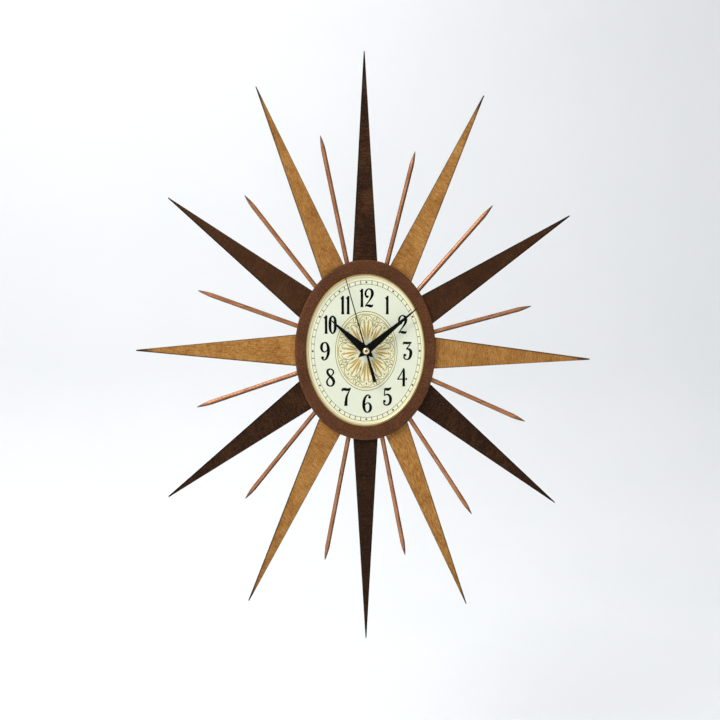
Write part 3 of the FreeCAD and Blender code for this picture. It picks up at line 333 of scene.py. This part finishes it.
# ---------------------------------------------------------------- metals
def metal(name, dark, bright, rough, along=(1, 1, 1), spots=0.0):
    """A drawn or rolled metal. along squeezes the fine scratches so that they run one way."""
    finish = Finish(name)
    scratches = finish.noise(finish.moved(finish.place, scale=tuple(2200 * s for s in along)), 1.0, 4, 0.7)
    cloud = finish.noise(finish.place, 60, 4, 0.6, 0.5)
    tone = finish.math("ADD", finish.math("MULTIPLY", scratches, 0.5), finish.math("MULTIPLY", cloud, 0.5))
    base = finish.mix(finish.fade(tone, 0.38, 0.62), dark, bright)
    if spots:
        stain = finish.fade(finish.noise(finish.place, 240, 5, 0.6, 0.8), 0.56, 0.7, 0.0, spots)
        base = finish.mix(stain, base, tuple(0.35 * c for c in dark[:3]) + (1.0,))
    finish.set(Base_Color=base, Metallic=1.0, Normal=finish.bump(scratches, 0.03 * MM))
    finish.set(Roughness=finish.fade(scratches, 0.3, 0.7, rough - 0.07, rough + 0.09))
    return finish.material


def gilt():
    """Pale gilding, with painted shade darkening it to brown gold in the corner where the bead meets the
    wood.
    """
    finish = Finish("gilt")
    # painted shade: brown gold in the corner where the bead meets the wood
    corner = finish.fade(oval_radius(finish), DIAL_R - 1.9 * MM, DIAL_R - 0.9 * MM)
    cloud = finish.noise(finish.place, 160, 4, 0.6, 0.5)
    fine = finish.noise(finish.place, 2600, 3, 0.6)
    base = finish.mix(cloud, srgb(226, 214, 166), srgb(244, 236, 200))
    base = finish.mix(corner, base, finish.mix(cloud, srgb(140, 112, 60), srgb(176, 148, 88)))
    finish.set(Base_Color=base, Metallic=0.6, Roughness=finish.fade(fine, 0.3, 0.7, 0.3, 0.42))
    finish.set(Normal=finish.bump(fine, 0.01 * MM))
    return finish.material


def cap_brass():
    """The hands' cap: pale polished brass with a gold rim and a dark centre."""
    finish = Finish("cap_brass")
    r = axis_distance(finish, finish.moved(finish.place, location=(-HUB.x, 0, -HUB.z)))
    fine = finish.noise(finish.place, 2400, 3, 0.6)
    base = finish.mix(finish.fade(r, 1.2 * MM, 1.9 * MM), srgb(122, 98, 40), srgb(250, 246, 226))
    base = finish.mix(finish.fade(r, 2.5 * MM, 3.2 * MM), base, srgb(190, 160, 84))
    finish.set(Base_Color=base, Metallic=0.75, Roughness=finish.fade(fine, 0.3, 0.7, 0.22, 0.34))
    finish.set(Normal=finish.bump(fine, 0.008 * MM))
    return finish.material


def copper(node):
    """A drawn rod with the slanting marks of its rollers, darker at the sharpened point, and with painted
    shade on its lower right side and its edges.
    """
    finish = Finish(node)
    tip = tip_of(node)
    angle = math.atan2(tip.x - HUB.x, tip.z - HUB.z)
    turn = Euler((0, -angle, 0))
    shift = Vector((HUB.x, 0, HUB.z))
    shift.rotate(turn)
    place = finish.moved(finish.place, location=-shift, rotation=turn)
    out = finish.split(place)[2]
    marks = finish.wave(finish.moved(place, scale=(1, 1, 0.45)), 330, 1.2, 2, "DIAGONAL")
    scratches = finish.noise(finish.moved(place, scale=(2200, 2200, 60)), 1.0, 4, 0.7)
    cloud = finish.noise(finish.moved(place, scale=(160, 160, 60)), 1.0, 5, 0.65, 0.8)
    stain = finish.fade(cloud, 0.52, 0.72, 0.0, 0.7)
    base = finish.mix(finish.fade(scratches, 0.35, 0.65), srgb(158, 94, 52), srgb(224, 154, 102))
    base = finish.mix(finish.math("MULTIPLY", marks, 0.5), base, srgb(108, 58, 32))
    base = finish.mix(stain, base, srgb(96, 50, 28))
    length = math.hypot(tip.x - HUB.x, tip.z - HUB.z)
    base = finish.mix(finish.fade(out, length - 14 * MM, length - 2 * MM, 0.0, 0.8), base, srgb(86, 62, 50))
    # painted shade: darker where the surface turns to the lower right, and where it turns away from the
    # front at the rod's edges
    x, _, z = finish.split(finish.node("ShaderNodeNewGeometry").outputs["Normal"])
    under = finish.fade(finish.math("SUBTRACT", x, z), 0.0, 0.75, 0.0, 0.95)
    painted_shade = finish.math("MAXIMUM", under, finish.fade(finish.facing(), 0.35, 0.85, 0.85, 0.0))
    base = finish.mix(painted_shade, base, srgb(50, 23, 13))
    finish.set(Base_Color=base, Metallic=0.4, Roughness=finish.fade(scratches, 0.3, 0.7, 0.2, 0.34))
    finish.set(Normal=finish.bump(marks, 0.06 * MM))
    return finish.material


# ---------------------------------------------------------------- plastic, lacquer, ink
def plastic(name, colour, rough, grain, dust=0.12):
    finish = Finish(name)
    spark = finish.noise(finish.place, 5200, 3, 0.6)
    cloud = finish.noise(finish.place, 70, 4, 0.6)
    pale = tuple(min(1.0, c * 1.5 + 0.012) for c in colour[:3]) + (1.0,)
    base = finish.mix(finish.fade(cloud, 0.4, 0.75, 0.0, dust * 2), colour, pale)
    finish.set(Base_Color=base, Roughness=finish.fade(spark, 0.3, 0.7, rough - 0.06, rough + 0.08))
    finish.set(Normal=finish.bump(spark, grain))
    return finish.material


def lacquer(name, colour, paler):
    """Thin glossy lacquer on sheet metal, a little uneven."""
    finish = Finish(name)
    peel = finish.noise(finish.place, 900, 3, 0.5)
    cloud = finish.noise(finish.place, 180, 4, 0.65)
    base = finish.mix(finish.fade(cloud, 0.45, 0.75, 0.0, 0.6), colour, paler)
    finish.set(Base_Color=base, Roughness=finish.fade(cloud, 0.3, 0.7, 0.23, 0.38))
    finish.set(Normal=finish.bump(peel, 0.012 * MM), Specular_IOR_Level=0.12)
    return finish.material


def dial_print():
    """Cream lacquer, cooler in the middle, and warmer in the band by the bead: partly the dial's own tint,
    partly a painted reflection of the gilt bead.
    """
    finish = Finish("dial_cream")
    r = oval_radius(finish)
    cloud = finish.noise(finish.place, 55, 5, 0.6)
    tooth = finish.noise(finish.place, 3600, 3, 0.6)
    # the warmer band by the bead is partly the dial's own tint and partly a painted reflection of the gilt
    # bead
    base = finish.mix(finish.fade(r, DIAL_R * 0.83, DIAL_R * 0.95), srgb(226, 230, 208), srgb(242, 239, 204))
    warm = finish.math("MULTIPLY", finish.fade(r, MEDAL_R * 0.97, MEDAL_R, 1.0, 0.0),
                      finish.fade(r, 4 * MM, 13 * MM))
    base = finish.mix(finish.math("MULTIPLY", warm, 0.75), base, srgb(236, 230, 186))
    base = finish.mix(finish.fade(cloud, 0.35, 0.75, 0.0, 0.25), base, srgb(216, 218, 190))
    base = finish.mix(finish.fade(tooth, 0.45, 0.8, 0.0, 0.14), base, srgb(200, 202, 172))
    finish.set(Base_Color=base, Roughness=finish.fade(tooth, 0.3, 0.7, 0.42, 0.55))
    finish.set(Normal=finish.bump(tooth, 0.01 * MM))
    return finish.material


def ink(name, colour, thin):
    """Printing ink that covers a little unevenly."""
    finish = Finish(name)
    cover = finish.noise(finish.place, 1300, 4, 0.7)
    finish.set(Base_Color=finish.mix(finish.fade(cover, 0.5, 0.8, 0.0, 0.6), colour, thin))
    finish.set(Roughness=finish.fade(cover, 0.3, 0.7, 0.42, 0.6), Specular_IOR_Level=0.08)
    return finish.material


# ---------------------------------------------------------------- print on the dial
INK_T = 0.04 * MM
PRINT_X = HUB.x + 0.8 * MM      # the print sits a little off the hands' axis
PRINT_Z = HUB.z - 0.6 * MM
SPAN_STEPS = 7          # straight pieces that each span of a pen stroke is drawn with


class Print:
    """Thin closed solids that lie on the dial, collected into one object."""

    def __init__(self, name, material):
        self.name = name
        self.material = material
        self.verts = []
        self.faces = []

    def prism(self, front):
        """A closed plate over an outline of (x, z) points, in metres from the print's middle."""
        n = len(front)
        first = len(self.verts)
        for y in (DIAL_FRONT - INK_T, DIAL_FRONT):
            self.verts += [(PRINT_X + x, y, PRINT_Z + z) for x, z in front]
        self.faces.append([first + k for k in range(n)])
        self.faces.append([first + n + k for k in reversed(range(n))])
        for k in range(n):
            after = (k + 1) % n
            self.faces.append([first + after, first + k, first + n + k, first + n + after])

    def band(self, left, right, closed):
        """A strip between two lines of (x, z) points, as one closed solid."""
        n = len(left)
        first = len(self.verts)
        for (lx, lz), (rx, rz) in zip(left, right):
            for y, x, z in ((DIAL_FRONT - INK_T, lx, lz), (DIAL_FRONT - INK_T, rx, rz),
                            (DIAL_FRONT, rx, rz), (DIAL_FRONT, lx, lz)):
                self.verts.append((PRINT_X + x, y, PRINT_Z + z))
        for k in range(n if closed else n - 1):
            a, b = first + 4 * k, first + 4 * ((k + 1) % n)
            self.faces += [[a + c, b + c, b + (c + 1) % 4, a + (c + 1) % 4] for c in range(4)]
        if not closed:
            last = first + 4 * (n - 1)
            self.faces += [[first + 3, first + 2, first + 1, first], [last, last + 1, last + 2, last + 3]]

    def stroke(self, points, width=None):
        """A pen stroke through (x, z, width) points, or (x, z) points with one width."""
        line = smooth([p if len(p) == 3 else (*p, width) for p in points])
        left, right = [], []
        for k, (x, z, w) in enumerate(line):
            ax, az, _ = line[max(k - 1, 0)]
            bx, bz, _ = line[min(k + 1, len(line) - 1)]
            length = math.hypot(bx - ax, bz - az)
            nx, nz = -(bz - az) / length * w / 2, (bx - ax) / length * w / 2
            left.append((x + nx, z + nz))
            right.append((x - nx, z - nz))
        self.band(left, right, False)

    def dot(self, x, z, r, sides=20):
        turns = [2 * math.pi * k / sides for k in range(sides)]
        self.prism([(x + r * math.cos(t), z + r * math.sin(t)) for t in turns])

    def ring(self, r, width):
        angles = range(0, 360, 2)
        inner, outer = ([on_oval(edge, a) for a in angles] for edge in (r - width / 2, r + width / 2))
        self.band(inner, outer, True)

    def place(self):
        mesh = bpy.data.meshes.new(self.name)
        mesh.from_pydata(self.verts, [], self.faces)
        mesh.validate()
        mesh.materials.append(self.material)
        made = bpy.data.objects.new(self.name, mesh)
        bpy.context.scene.collection.objects.link(made)
        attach(made, "clock")


def smooth(points):
    """Catmull-Rom points through a list of equal-length tuples."""
    last = len(points) - 1
    line = []
    for k in range(last):
        p = [points[min(max(k + j, 0), last)] for j in (-1, 0, 1, 2)]
        for step in range(SPAN_STEPS):
            t = step / SPAN_STEPS
            line.append(tuple(0.5 * (2 * b + (c - a) * t + (2 * a - 5 * b + 4 * c - d) * t * t
                                     + (3 * b - a - 3 * c + d) * t ** 3) for a, b, c, d in zip(*p)))
    line.append(points[-1])
    return line


# Pen strokes of each digit as (x, z, width) points in millimetres. A digit stands on z = 0, and the nine
# is the six turned half round.
DIGIT_W = 10.0
DIGIT_H = 20.0
SIX = [[(7.9, 18.6, 1.2), (5.8, 19.6, 1.1), (3.2, 17.6, 1.9), (1.4, 12.4, 2.8), (1.3, 6.6, 2.9),
        (2.8, 2.0, 2.0), (5.1, 0.6, 1.1), (7.8, 2.2, 2.2), (8.8, 5.8, 2.8), (7.9, 9.4, 2.0),
        (5.6, 10.9, 1.0), (3.4, 9.8, 0.8), (2.2, 7.4, 0.8)]]
DIGITS = {
    "0": [[(4.1, 19.5, 1.2), (1.7, 16.4, 2.4), (1.2, 10.0, 2.9), (1.7, 3.6, 2.4), (4.1, 0.5, 1.2),
           (6.5, 3.6, 2.4), (7.0, 10.0, 2.9), (6.5, 16.4, 2.4), (4.1, 19.5, 1.2)]],
    "1": [[(2.9, 0.0, 4.0), (2.9, 0.7, 3.0), (2.9, 5.0, 2.5), (2.9, 16.5, 2.5), (3.3, 20.0, 1.7)],
          [(3.2, 19.2, 1.2), (1.9, 17.9, 1.1), (0.7, 17.0, 1.9)]],
    "2": [[(4.2, 11.3, 0.7), (2.6, 10.7, 1.3), (1.1, 13.2, 1.8), (1.4, 17.0, 1.9), (4.2, 19.8, 1.0),
           (7.3, 18.6, 2.1), (8.5, 15.2, 3.0), (7.5, 11.0, 2.2), (4.4, 6.2, 1.1), (1.8, 2.8, 0.8),
           (0.8, 0.9, 0.8)],
          [(0.7, 0.7, 0.9), (2.2, 1.9, 1.5), (4.4, 1.7, 2.6), (6.8, 1.2, 2.8), (8.3, 1.5, 1.7),
           (9.0, 3.0, 0.6)]],
    "3": [[(0.4, 16.8, 0.7), (0.9, 18.9, 1.7), (2.8, 18.7, 2.4), (5.8, 18.7, 2.3), (8.4, 19.0, 1.5),
           (9.3, 19.8, 0.6)],
          [(9.0, 19.3, 0.9), (6.4, 15.4, 0.9), (3.8, 12.1, 0.9)],
          [(3.5, 12.0, 0.7), (6.4, 12.0, 1.8), (8.5, 9.8, 2.9), (8.6, 6.0, 3.0), (7.0, 1.9, 2.1),
           (4.4, 0.7, 1.1), (1.9, 1.6, 1.2), (0.9, 4.2, 1.3)]],
    "4": [[(7.2, 20.0, 0.9), (7.2, 17.0, 2.2), (7.2, 8.0, 2.6), (7.2, 1.0, 2.7), (7.2, 0.0, 4.0)],
          [(7.1, 19.7, 0.9), (4.0, 13.6, 0.9), (0.5, 8.1, 1.0)],
          [(0.2, 8.0, 1.1), (5.0, 8.0, 1.0), (10.4, 8.0, 1.1)],
          [(10.2, 9.3, 0.9), (10.2, 8.0, 0.7), (10.2, 6.9, 0.9)]],
    "5": [[(2.0, 17.0, 0.8), (3.2, 18.2, 2.3), (5.6, 17.9, 2.9), (7.9, 18.6, 2.2), (9.4, 20.2, 0.7)],
          [(2.5, 17.8, 0.9), (2.2, 14.0, 0.9), (2.0, 10.8, 0.9)],
          [(2.0, 10.9, 0.8), (4.6, 12.4, 1.3), (7.7, 11.0, 2.4), (8.9, 7.2, 2.9), (8.0, 3.0, 2.4),
           (5.2, 0.7, 1.3), (2.3, 1.4, 1.2), (1.1, 3.8, 1.4)]],
    "6": SIX,
    "7": [[(0.4, 16.0, 0.9), (1.1, 18.1, 2.4), (3.6, 18.2, 3.0), (6.6, 17.8, 2.5), (9.9, 19.7, 0.8)],
          [(9.6, 19.4, 0.9), (7.4, 15.0, 1.2), (5.4, 10.0, 2.1), (4.7, 5.0, 2.9), (4.5, 1.0, 3.2),
           (4.5, 0.0, 3.7)]],
    "8": [[(5.0, 19.5, 1.1), (2.4, 18.4, 2.0), (1.6, 15.8, 2.3), (3.4, 12.6, 2.5), (7.0, 9.0, 2.9),
           (8.6, 5.4, 2.8), (7.4, 1.8, 1.8), (5.0, 0.6, 1.1)],
          [(5.0, 0.6, 1.1), (2.3, 1.8, 1.5), (1.0, 5.2, 1.8), (2.6, 8.8, 1.2), (5.6, 11.6, 0.9),
           (8.0, 14.8, 1.3), (7.6, 17.8, 1.3), (5.0, 19.5, 1.1)]],
    "9": [[(DIGIT_W - x, DIGIT_H - z, w) for x, z, w in stroke] for stroke in SIX],
}
# the round ends of some strokes, as (x, z, radius)
BALLS = {"2": [(3.4, 11.6, 1.2)], "3": [(2.2, 5.4, 1.6)], "5": [(2.1, 4.9, 1.6)], "6": [(7.6, 17.2, 1.6)],
         "9": [(2.4, 2.8, 1.6)]}
PEN_GAIN = 0.3          # added to each stroke's width, as ink spreads
# each numeral's digits, with how far right of its centre each digit's left side starts
NUMERALS = {1: [("1", -2.6)], 2: [("2", -4.4)], 3: [("3", -5.1)], 4: [("4", -5.2)], 5: [("5", -4.8)],
            6: [("6", -4.0)], 7: [("7", -4.3)], 8: [("8", -5.0)], 9: [("9", -5.0)],
            10: [("1", -7.6), ("0", -1.7)], 11: [("1", -6.0), ("1", -0.1)], 12: [("1", -7.7), ("2", -1.9)]}
NUMERAL_R = 45.0 * MM


def numerals(material):
    sheet = Print("numerals", material)
    for hour, digits in NUMERALS.items():
        cx, cz = on_oval(NUMERAL_R, 30 * hour)
        for digit, left in digits:
            def put(x, z):
                return cx + (left + x) * MM, cz + (z - DIGIT_H / 2) * MM
            for stroke in DIGITS[digit]:
                sheet.stroke([(*put(x, z), (w + PEN_GAIN) * MM) for x, z, w in stroke])
            for x, z, r in BALLS.get(digit, []):
                sheet.dot(*put(x, z), r * MM)
    sheet.place()


TRACK_OUT = 59.9 * MM
TRACK_IN = 56.7 * MM
TRACK_RING_W = 0.42 * MM
TRACK_MARK_W = 0.75 * MM
TRACK_DOT_R = 1.1 * MM


def minute_track(material, dark):
    """Two fine rings with a short block at each minute, and a dark dot at every fifth."""
    lines = Print("minute_track", material)
    lines.ring(TRACK_OUT, TRACK_RING_W)
    lines.ring(TRACK_IN, TRACK_RING_W)
    marks = Print("minute_marks", dark)
    for minute in range(60):
        a = 6 * minute
        if minute % 5:
            ends = [on_oval(TRACK_IN, a), on_oval(TRACK_OUT, a)]
            marks.stroke(ends, width=TRACK_MARK_W)
        else:
            marks.dot(*on_oval((TRACK_IN + TRACK_OUT) / 2, a), TRACK_DOT_R)
    lines.place()
    marks.place()


MEDAL_RING_W = 0.6 * MM
INNER_RING = 0.935      # the medallion's second ring, as a share of the first
INNER_RING_W = 0.5 * MM
FAN_LINE_W = 0.62 * MM
FANS = 8
# one fan of the rosette, as (radius, degrees from its middle line, width) points in millimetres
FAN_LEAVES = [[(10.0, 3.0, 0.5), (14.0, 4.6, 1.4), (18.5, 5.2, 2.0), (22.5, 5.5, 1.5), (25.6, 7.2, 0.4)],
              [(9.0, 8.5, 0.4), (12.5, 10.4, 1.2), (16.0, 11.8, 1.7), (19.6, 13.2, 1.2), (22.0, 16.2, 0.4)],
              [(26.4, 0, 0.4), (27.8, 0, 1.2), (29.2, 0, 0.4)]]
FAN_LINES = [[(13.5, 22.0), (19.5, 20.8), (24.5, 17.8), (28.4, 12.6), (30.2, 6.4), (30.4, 0.0)],
             [(22.0, 18.2), (25.0, 14.8), (26.8, 9.6), (26.2, 5.2), (24.6, 4.6), (23.8, 2.4)],
             [(31.2, 22.5), (28.8, 21.4), (27.0, 18.6), (28.0, 16.2), (29.8, 16.4), (30.4, 18.6)],
             [(25.8, 22.5), (24.0, 21.4), (22.8, 22.5)]]
FAN_DOTS = [(27.8, 0.0, 0.75), (28.6, 4.0, 0.4), (14.2, 10.0, 0.4), (17.4, 11.4, 0.45), (23.6, 15.6, 0.5),
            (26.6, 20.6, 0.5), (12.4, 19.0, 0.4), (16.4, 19.4, 0.45)]


def medallion(line_ink, leaf_ink):
    lines = Print("medallion_lines", line_ink)
    leaves = Print("medallion_leaves", leaf_ink)
    lines.ring(MEDAL_R, MEDAL_RING_W)
    lines.ring(MEDAL_R * INNER_RING, INNER_RING_W)
    for fan in range(FANS):
        for side in (-1, 1):
            def put(r, a):
                return on_oval(r * MM, 360 / FANS * fan + side * a)
            for stroke in FAN_LEAVES:
                if side > 0 or stroke[0][1]:
                    leaves.stroke([(*put(r, a), w * MM) for r, a, w in stroke])
            for stroke in FAN_LINES:
                lines.stroke([put(r, a) for r, a in stroke], width=FAN_LINE_W)
            for r, a, size in FAN_DOTS:
                if side > 0 or a:
                    lines.dot(*put(r, a), size * MM, 12)
    lines.place()
    leaves.place()


black_ink = ink("black_ink", srgb(6, 6, 7), srgb(14, 14, 14))
grey_ink = ink("grey_ink", srgb(126, 124, 88), srgb(156, 153, 116))
mark_ink = ink("mark_ink", srgb(70, 70, 54), srgb(104, 103, 82))
olive_ink = ink("olive_ink", srgb(136, 127, 64), srgb(166, 157, 96))
ochre_ink = ink("ochre_ink", srgb(188, 158, 82), srgb(210, 186, 114))
numerals(black_ink)
minute_track(grey_ink, mark_ink)
medallion(olive_ink, ochre_ink)


# ---------------------------------------------------------------- finishes of the CAD pieces
def battery_film():
    """Plain film over the can, with a copper-coloured band at the positive end, and both ends bare."""
    finish = Finish("battery_film")
    low, high = (Vector(p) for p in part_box("battery"))
    x = finish.split(finish.place)[0]
    cloud = finish.noise(finish.place, 300, 4, 0.6)
    film = finish.mix(finish.fade(cloud, 0.4, 0.7), srgb(34, 36, 40), srgb(44, 46, 50))
    band = finish.fade(x, high.x - 13.0 * MM, high.x - 12.8 * MM)
    film = finish.mix(band, film, finish.mix(cloud, srgb(176, 110, 66), srgb(196, 128, 80)))
    end = finish.math("MAXIMUM", finish.fade(x, high.x - 1.7 * MM, high.x - 1.5 * MM),
                     finish.math("SUBTRACT", 1.0, finish.fade(x, low.x + 0.7 * MM, low.x + 0.9 * MM)))
    finish.set(Base_Color=finish.mix(end, film, srgb(190, 190, 188)))
    finish.set(Metallic=finish.fade(end, 0.4, 0.6), Roughness=finish.fade(cloud, 0.3, 0.7, 0.22, 0.34))
    return finish.material


def winding():
    """Fine enamelled wire, turn beside turn."""
    finish = Finish("winding_wire")
    turns = finish.wave(finish.moved(finish.place, scale=(1, 0, 0)), 1250, 0.0, 0, "X")
    cloud = finish.noise(finish.place, 400, 3, 0.6)
    # painted shade: darker in the grooves between the turns
    base = finish.mix(turns, srgb(84, 34, 18), finish.mix(cloud, srgb(176, 84, 44), srgb(204, 112, 62)))
    finish.set(Base_Color=base, Metallic=0.8, Roughness=0.35, Normal=finish.bump(turns, 0.05 * MM))
    return finish.material


def circuit():
    finish = Finish("circuit_mask")
    tracks = finish.fade(finish.cells(finish.place, 420), 0.05, 0.08)
    base = finish.mix(tracks, srgb(190, 150, 90), srgb(28, 84, 48))
    blob = finish.fade(finish.cells(finish.place, 90), 0.0, 0.3)
    base = finish.mix(finish.math("MULTIPLY", blob, 0.2), base, srgb(14, 50, 30))
    finish.set(Base_Color=base, Roughness=0.35, Normal=finish.bump(tracks, 0.03 * MM))
    return finish.material


def dress(material, *nodes):
    """Gives CAD nodes one material in every slot."""
    for node in nodes:
        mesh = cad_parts[node].data
        if not mesh.materials:
            mesh.materials.append(material)
        for slot in range(len(mesh.materials)):
            mesh.materials[slot] = material


for node in RAYS:
    dress(ray_wood(node, "light" in node), node)
for node in RODS:
    dress(copper(node), node)
dress(body_wood(), "clock_body", "back_ring")
dress(dial_print(), "dial_plate")
dress(gilt(), "dial_bead")
dress(lacquer("hand_lacquer", srgb(5, 5, 5), srgb(11, 11, 11)), "hour_hand", "minute_hand", "second_hand")
dress(cap_brass(), "second_hand_cap")
dress(metal("turned_brass", srgb(196, 168, 108), srgb(240, 222, 170), 0.24, (1, 0.1, 1), 0.12),
      "dial_nut", "dial_washer")
dress(metal("zinc_steel", srgb(140, 140, 138), srgb(196, 196, 192), 0.34, (1, 1, 0.05), 0.2),
      "hanger_plate", "stator_plate", "coil_core", "rotor_pinion",
      "battery_contact_plus", "battery_contact_minus")
dress(metal("yellow_zinc", srgb(150, 128, 78), srgb(206, 186, 128), 0.36, (1, 1, 1), 0.3),
      "back_screws", "hanger_screws")
dress(metal("crystal_can", srgb(176, 176, 176), srgb(216, 216, 214), 0.2), "quartz_crystal")
dress(metal("ferrite", srgb(38, 38, 40), srgb(62, 62, 64), 0.5), "rotor_magnet")
dress(plastic("case_plastic", srgb(24, 24, 25), 0.5, 0.03 * MM),
      "movement_case", "movement_cover", "coil_bobbin", "setting_knob")
dress(plastic("gear_acetal", srgb(226, 224, 212), 0.4, 0.01 * MM, 0.05),
      "intermediate_wheel", "second_wheel", "third_wheel", "centre_wheel",
      "minute_pipe", "motion_wheel", "hour_wheel")
dress(plastic("gasket_rubber", srgb(20, 20, 20), 0.7, 0.04 * MM, 0.2), "rubber_gasket")
dress(battery_film(), "battery")
dress(winding(), "coil_winding")
dress(circuit(), "circuit_board")


# ---------------------------------------------------------------- stage, light, camera
FLOOR_DROP = 0.62       # from the hands' axis down to the floor
SWEEP_Y = 1.55          # where the floor has turned up into the backdrop
SWEEP_R = 0.5
SWEEP_FRONT_Y = -4.0
SWEEP_TOP = 4.5
SWEEP_HALF_W = 5.0
SWEEP_STEPS = 16


def stage():
    """A pale floor that turns up into a far backdrop."""
    floor = HUB.z - FLOOR_DROP
    line = [(SWEEP_FRONT_Y, floor), (SWEEP_Y - SWEEP_R, floor)]
    for k in range(1, SWEEP_STEPS + 1):
        t = math.pi / 2 * k / SWEEP_STEPS
        line.append((SWEEP_Y - SWEEP_R + SWEEP_R * math.sin(t), floor + SWEEP_R * (1 - math.cos(t))))
    line.append((SWEEP_Y, floor + SWEEP_TOP))
    verts = [(x, y, z) for y, z in line for x in (-SWEEP_HALF_W, SWEEP_HALF_W)]
    faces = [(2 * k, 2 * k + 1, 2 * k + 3, 2 * k + 2) for k in range(len(line) - 1)]
    mesh = bpy.data.meshes.new("sweep")
    mesh.from_pydata(verts, [], faces)
    mesh.polygons.foreach_set("use_smooth", [True] * len(faces))
    finish = Finish("sweep_paint")
    cloud = finish.noise(finish.place, 2.5, 2, 0.5)
    finish.set(Base_Color=finish.mix(cloud, srgb(236, 238, 239), srgb(242, 243, 244)), Roughness=0.9)
    mesh.materials.append(finish.material)
    sweep = bpy.data.objects.new("sweep", mesh)
    bpy.context.scene.collection.objects.link(sweep)


def area_light(name, offset, size, power, colour):
    """A square soft light that faces the hands' axis from an offset."""
    light = bpy.data.lights.new(name, "AREA")
    light.size = size
    light.energy = power
    light.color = colour
    lamp = bpy.data.objects.new(name, light)
    lamp.location = HUB + Vector(offset)
    lamp.rotation_euler = (-Vector(offset)).to_track_quat("-Z", "Y").to_euler()
    bpy.context.scene.collection.objects.link(lamp)


SKY_TOWARD = Vector((-0.72, -0.1, 0.55)).normalized()   # where the world is brightest
SKY_SPAN = 0.8          # direction's part along that at which the brightness stops changing
SKY_DARK = 0.04
SKY_BRIGHT = 0.74


def lights():
    area_light("key", (-1.2, -1.4, 1.6), 1.0, 39, (1.0, 0.985, 0.96))
    area_light("fill", (1.6, -1.7, 0.2), 1.6, 6, (0.95, 0.97, 1.0))
    area_light("back", (-0.8, 1.0, 1.9), 1.2, 24, (1.0, 1.0, 1.0))
    world = bpy.data.worlds.new("studio")
    world.use_nodes = True
    nodes, links = world.node_tree.nodes, world.node_tree.links
    place = nodes.new("ShaderNodeTexCoord")
    toward = nodes.new("ShaderNodeVectorMath")
    toward.operation = "DOT_PRODUCT"
    toward.inputs[1].default_value = SKY_TOWARD
    bright = nodes.new("ShaderNodeMapRange")
    bright.inputs["From Min"].default_value = -SKY_SPAN
    bright.inputs["From Max"].default_value = SKY_SPAN
    bright.inputs["To Min"].default_value = SKY_DARK
    bright.inputs["To Max"].default_value = SKY_BRIGHT
    links.new(place.outputs["Generated"], toward.inputs[0])
    links.new(toward.outputs["Value"], bright.inputs["Value"])
    links.new(bright.outputs["Result"], nodes["Background"].inputs["Strength"])
    nodes["Background"].inputs["Color"].default_value = (0.92, 0.94, 0.97, 1.0)
    bpy.context.scene.world = world
    bpy.context.scene.view_settings.view_transform = "Standard"


CAMERA_X = -0.0557      # camera from the hands' axis
CAMERA_Z = 0.0532
CAMERA_DISTANCE = 0.9828     # in front of the rays' middle
CAMERA_DOWN = 3.72      # degrees
CAMERA_RIGHT = 2.91
LENS = 45.0


def camera():
    data = bpy.data.cameras.new("camera")
    data.lens = LENS
    data.sensor_width = 36.0
    made = bpy.data.objects.new("camera", data)
    made.location = (HUB.x + CAMERA_X, middle("ray_dark_12").y - CAMERA_DISTANCE, HUB.z + CAMERA_Z)
    made.rotation_euler = (math.radians(90 - CAMERA_DOWN), 0, math.radians(-CAMERA_RIGHT))
    bpy.context.scene.collection.objects.link(made)
    bpy.context.scene.camera = made


stage()
lights()
camera()
